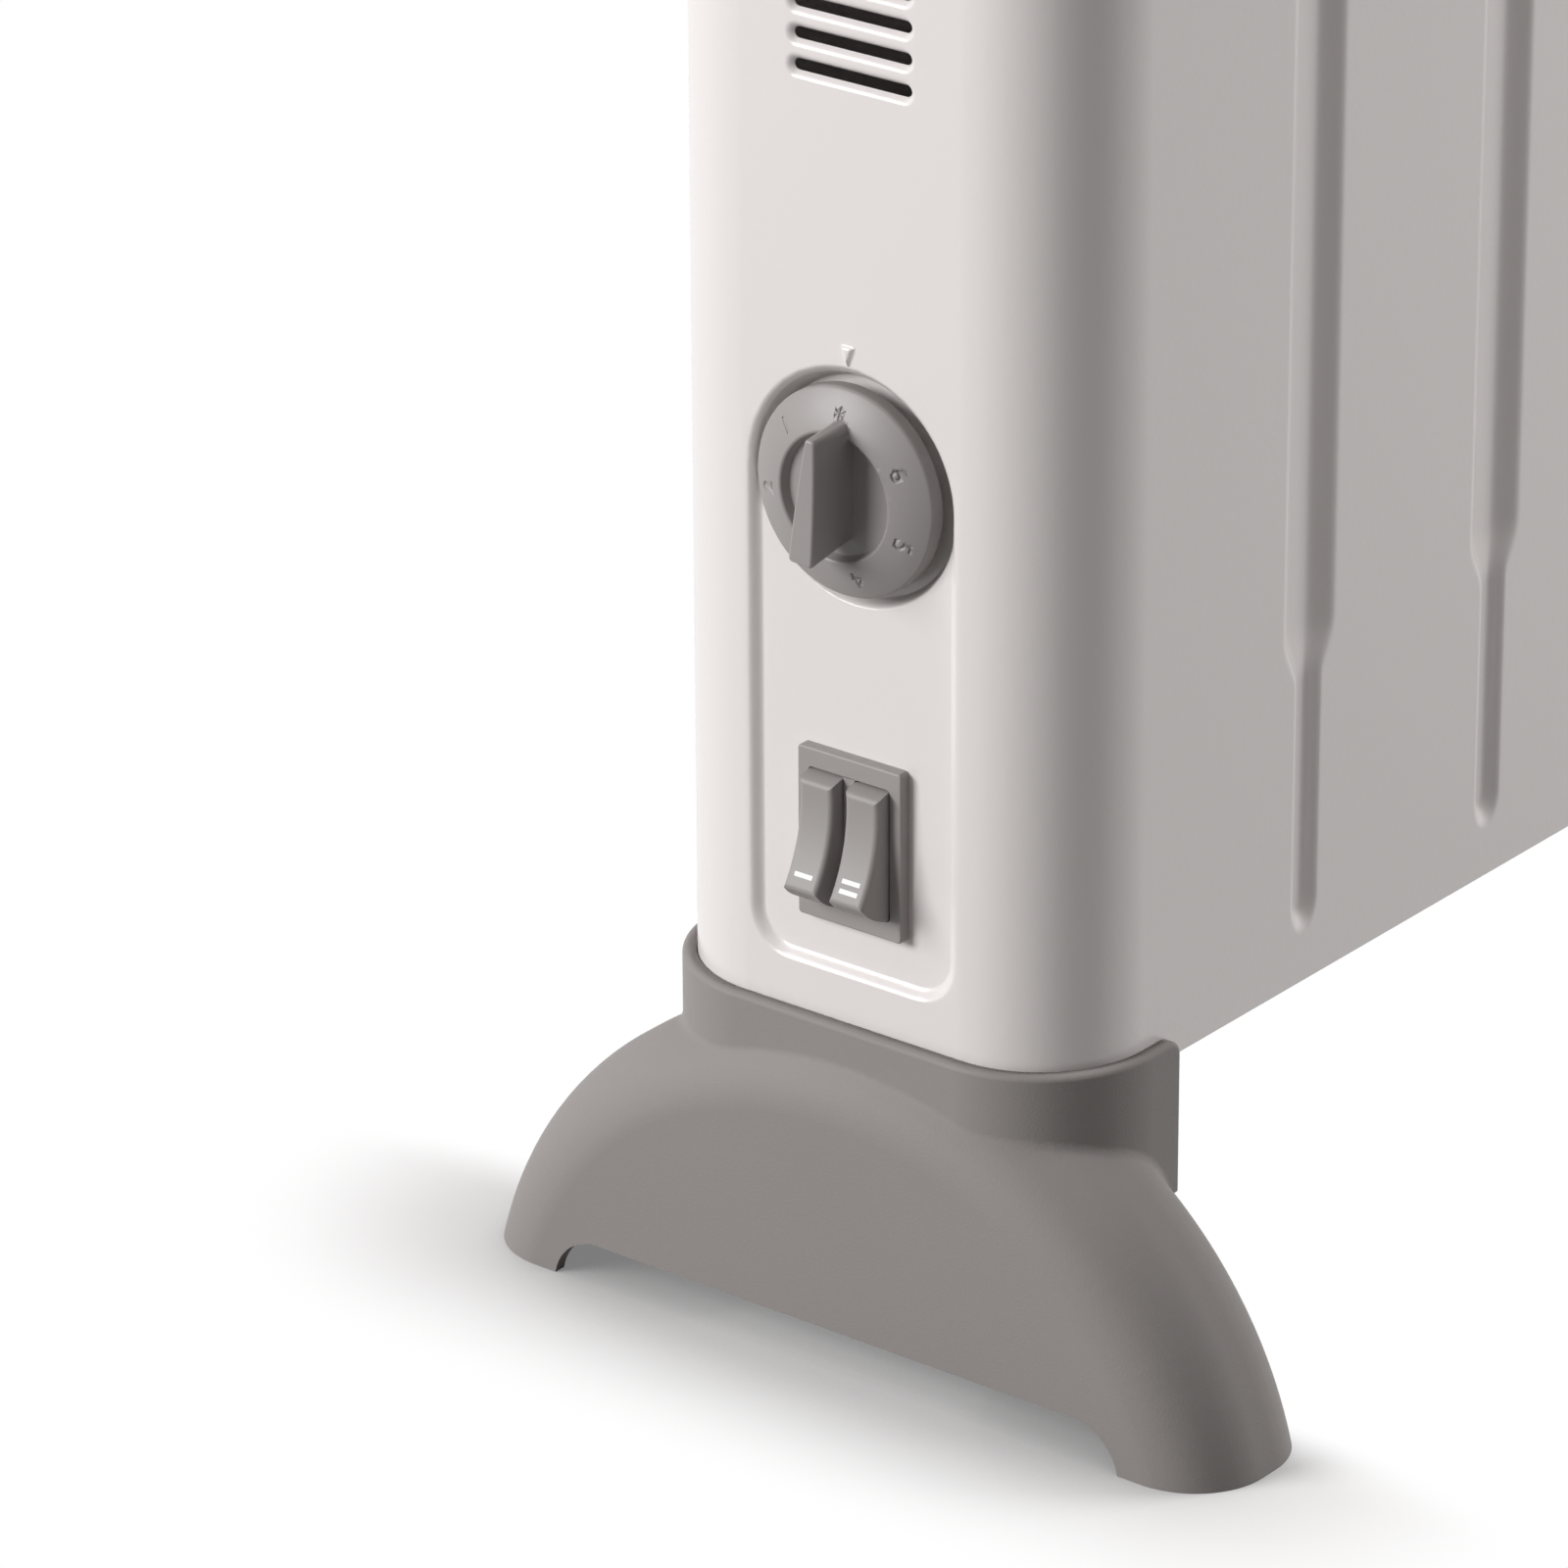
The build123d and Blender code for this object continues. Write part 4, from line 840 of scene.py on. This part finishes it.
reach = stageSpec["floorHalf"]
floorMesh = bpy.data.meshes.new("floor")
floorCorners = [(-reach, -reach, 0), (reach, -reach, 0), (reach, reach, 0), (-reach, reach, 0)]
floorMesh.from_pydata(floorCorners, [], [(0, 1, 2, 3)])
floorMesh.materials.append(floorFinish().material)
floor = bpy.data.objects.new("floor", floorMesh)
bpy.context.scene.collection.objects.link(floor)

world = bpy.data.worlds.new("studio")
bpy.context.scene.world = world
world.use_nodes = True
worldTree = world.node_tree
worldTree.nodes.clear()
worldOut = worldTree.nodes.new("ShaderNodeOutputWorld")
chosen = worldTree.nodes.new("ShaderNodeMixShader")
worldTree.links.new(chosen.outputs[0], worldOut.inputs[0])
for index, name in ((1, "ambient"), (2, "backdrop")):
    light = worldTree.nodes.new("ShaderNodeBackground")
    light.inputs["Color"].default_value = whiteTone
    light.inputs["Strength"].default_value = stageSpec[name]
    worldTree.links.new(light.outputs[0], chosen.inputs[index])
lightPath = worldTree.nodes.new("ShaderNodeLightPath")
shown = lightPath.outputs["Is Camera Ray"]
for ray in backdropRays:
    either = worldTree.nodes.new("ShaderNodeMath")
    either.operation = "MAXIMUM"
    worldTree.links.new(shown, either.inputs[0])
    worldTree.links.new(lightPath.outputs[ray], either.inputs[1])
    shown = either.outputs[0]
worldTree.links.new(shown, chosen.inputs[0])

# The front lamp stays out of reflections, so that the top doesn't glare from behind.
lamps = {
    "keyLamp": {"at": (-2.2, 1.3, 1.1), "to": (-0.35, 0.0, 0.2), "size": 1.2, "power": 61.5, "shine": True},
    "frontLamp": {"at": (2.2, -1.75, 1.6), "to": (0.0, 0.0, 0.25), "size": 1.5, "power": 71.0,
                  "shine": False},
    "topLamp": {"at": (0.5, 0.35, 2.6), "to": (-0.2, 0.0, 0.0), "size": 2.2, "power": 13.0, "shine": True}}
for name, spec in lamps.items():
    lamp = bpy.data.lights.new(name, "AREA")
    lamp.shape = "SQUARE"
    lamp.size = spec["size"]
    lamp.energy = spec["power"]
    holder = bpy.data.objects.new(name, lamp)
    holder.visible_glossy = spec["shine"]
    holder.location = spec["at"]
    holder.rotation_mode = "QUATERNION"
    holder.rotation_quaternion = (Vector(spec["to"]) - Vector(spec["at"])).to_track_quat("-Z", "Y")
    bpy.context.scene.collection.objects.link(holder)

cameraSpec = {
    "eye": (-1664.5, -1020.3, 866.8), "yaw": 51.42, "pitch": -23.87, "roll": -0.34,
    "lens": 199.0, "sees": 50.0}
yaw, pitch, roll = [math.radians(cameraSpec[name]) for name in ("yaw", "pitch", "roll")]
forward = Vector((math.sin(yaw) * math.cos(pitch), math.cos(yaw) * math.cos(pitch), math.sin(pitch)))
level = Vector((math.cos(yaw), -math.sin(yaw), 0))
upright = level.cross(forward)
right = level * math.cos(roll) + upright * math.sin(roll)
above = upright * math.cos(roll) - level * math.sin(roll)
cameraData = bpy.data.cameras.new("camera")
cameraData.lens = cameraSpec["lens"]
cameraData.clip_end = cameraSpec["sees"]
camera = bpy.data.objects.new("camera", cameraData)
axes = Matrix((right, above, -forward)).transposed().to_4x4()
camera.matrix_world = Matrix.Translation(Vector(cameraSpec["eye"]) * mm) @ axes
bpy.context.scene.collection.objects.link(camera)
bpy.context.scene.camera = camera
bpy.context.scene.view_settings.view_transform = "Standard"
print("stage set")
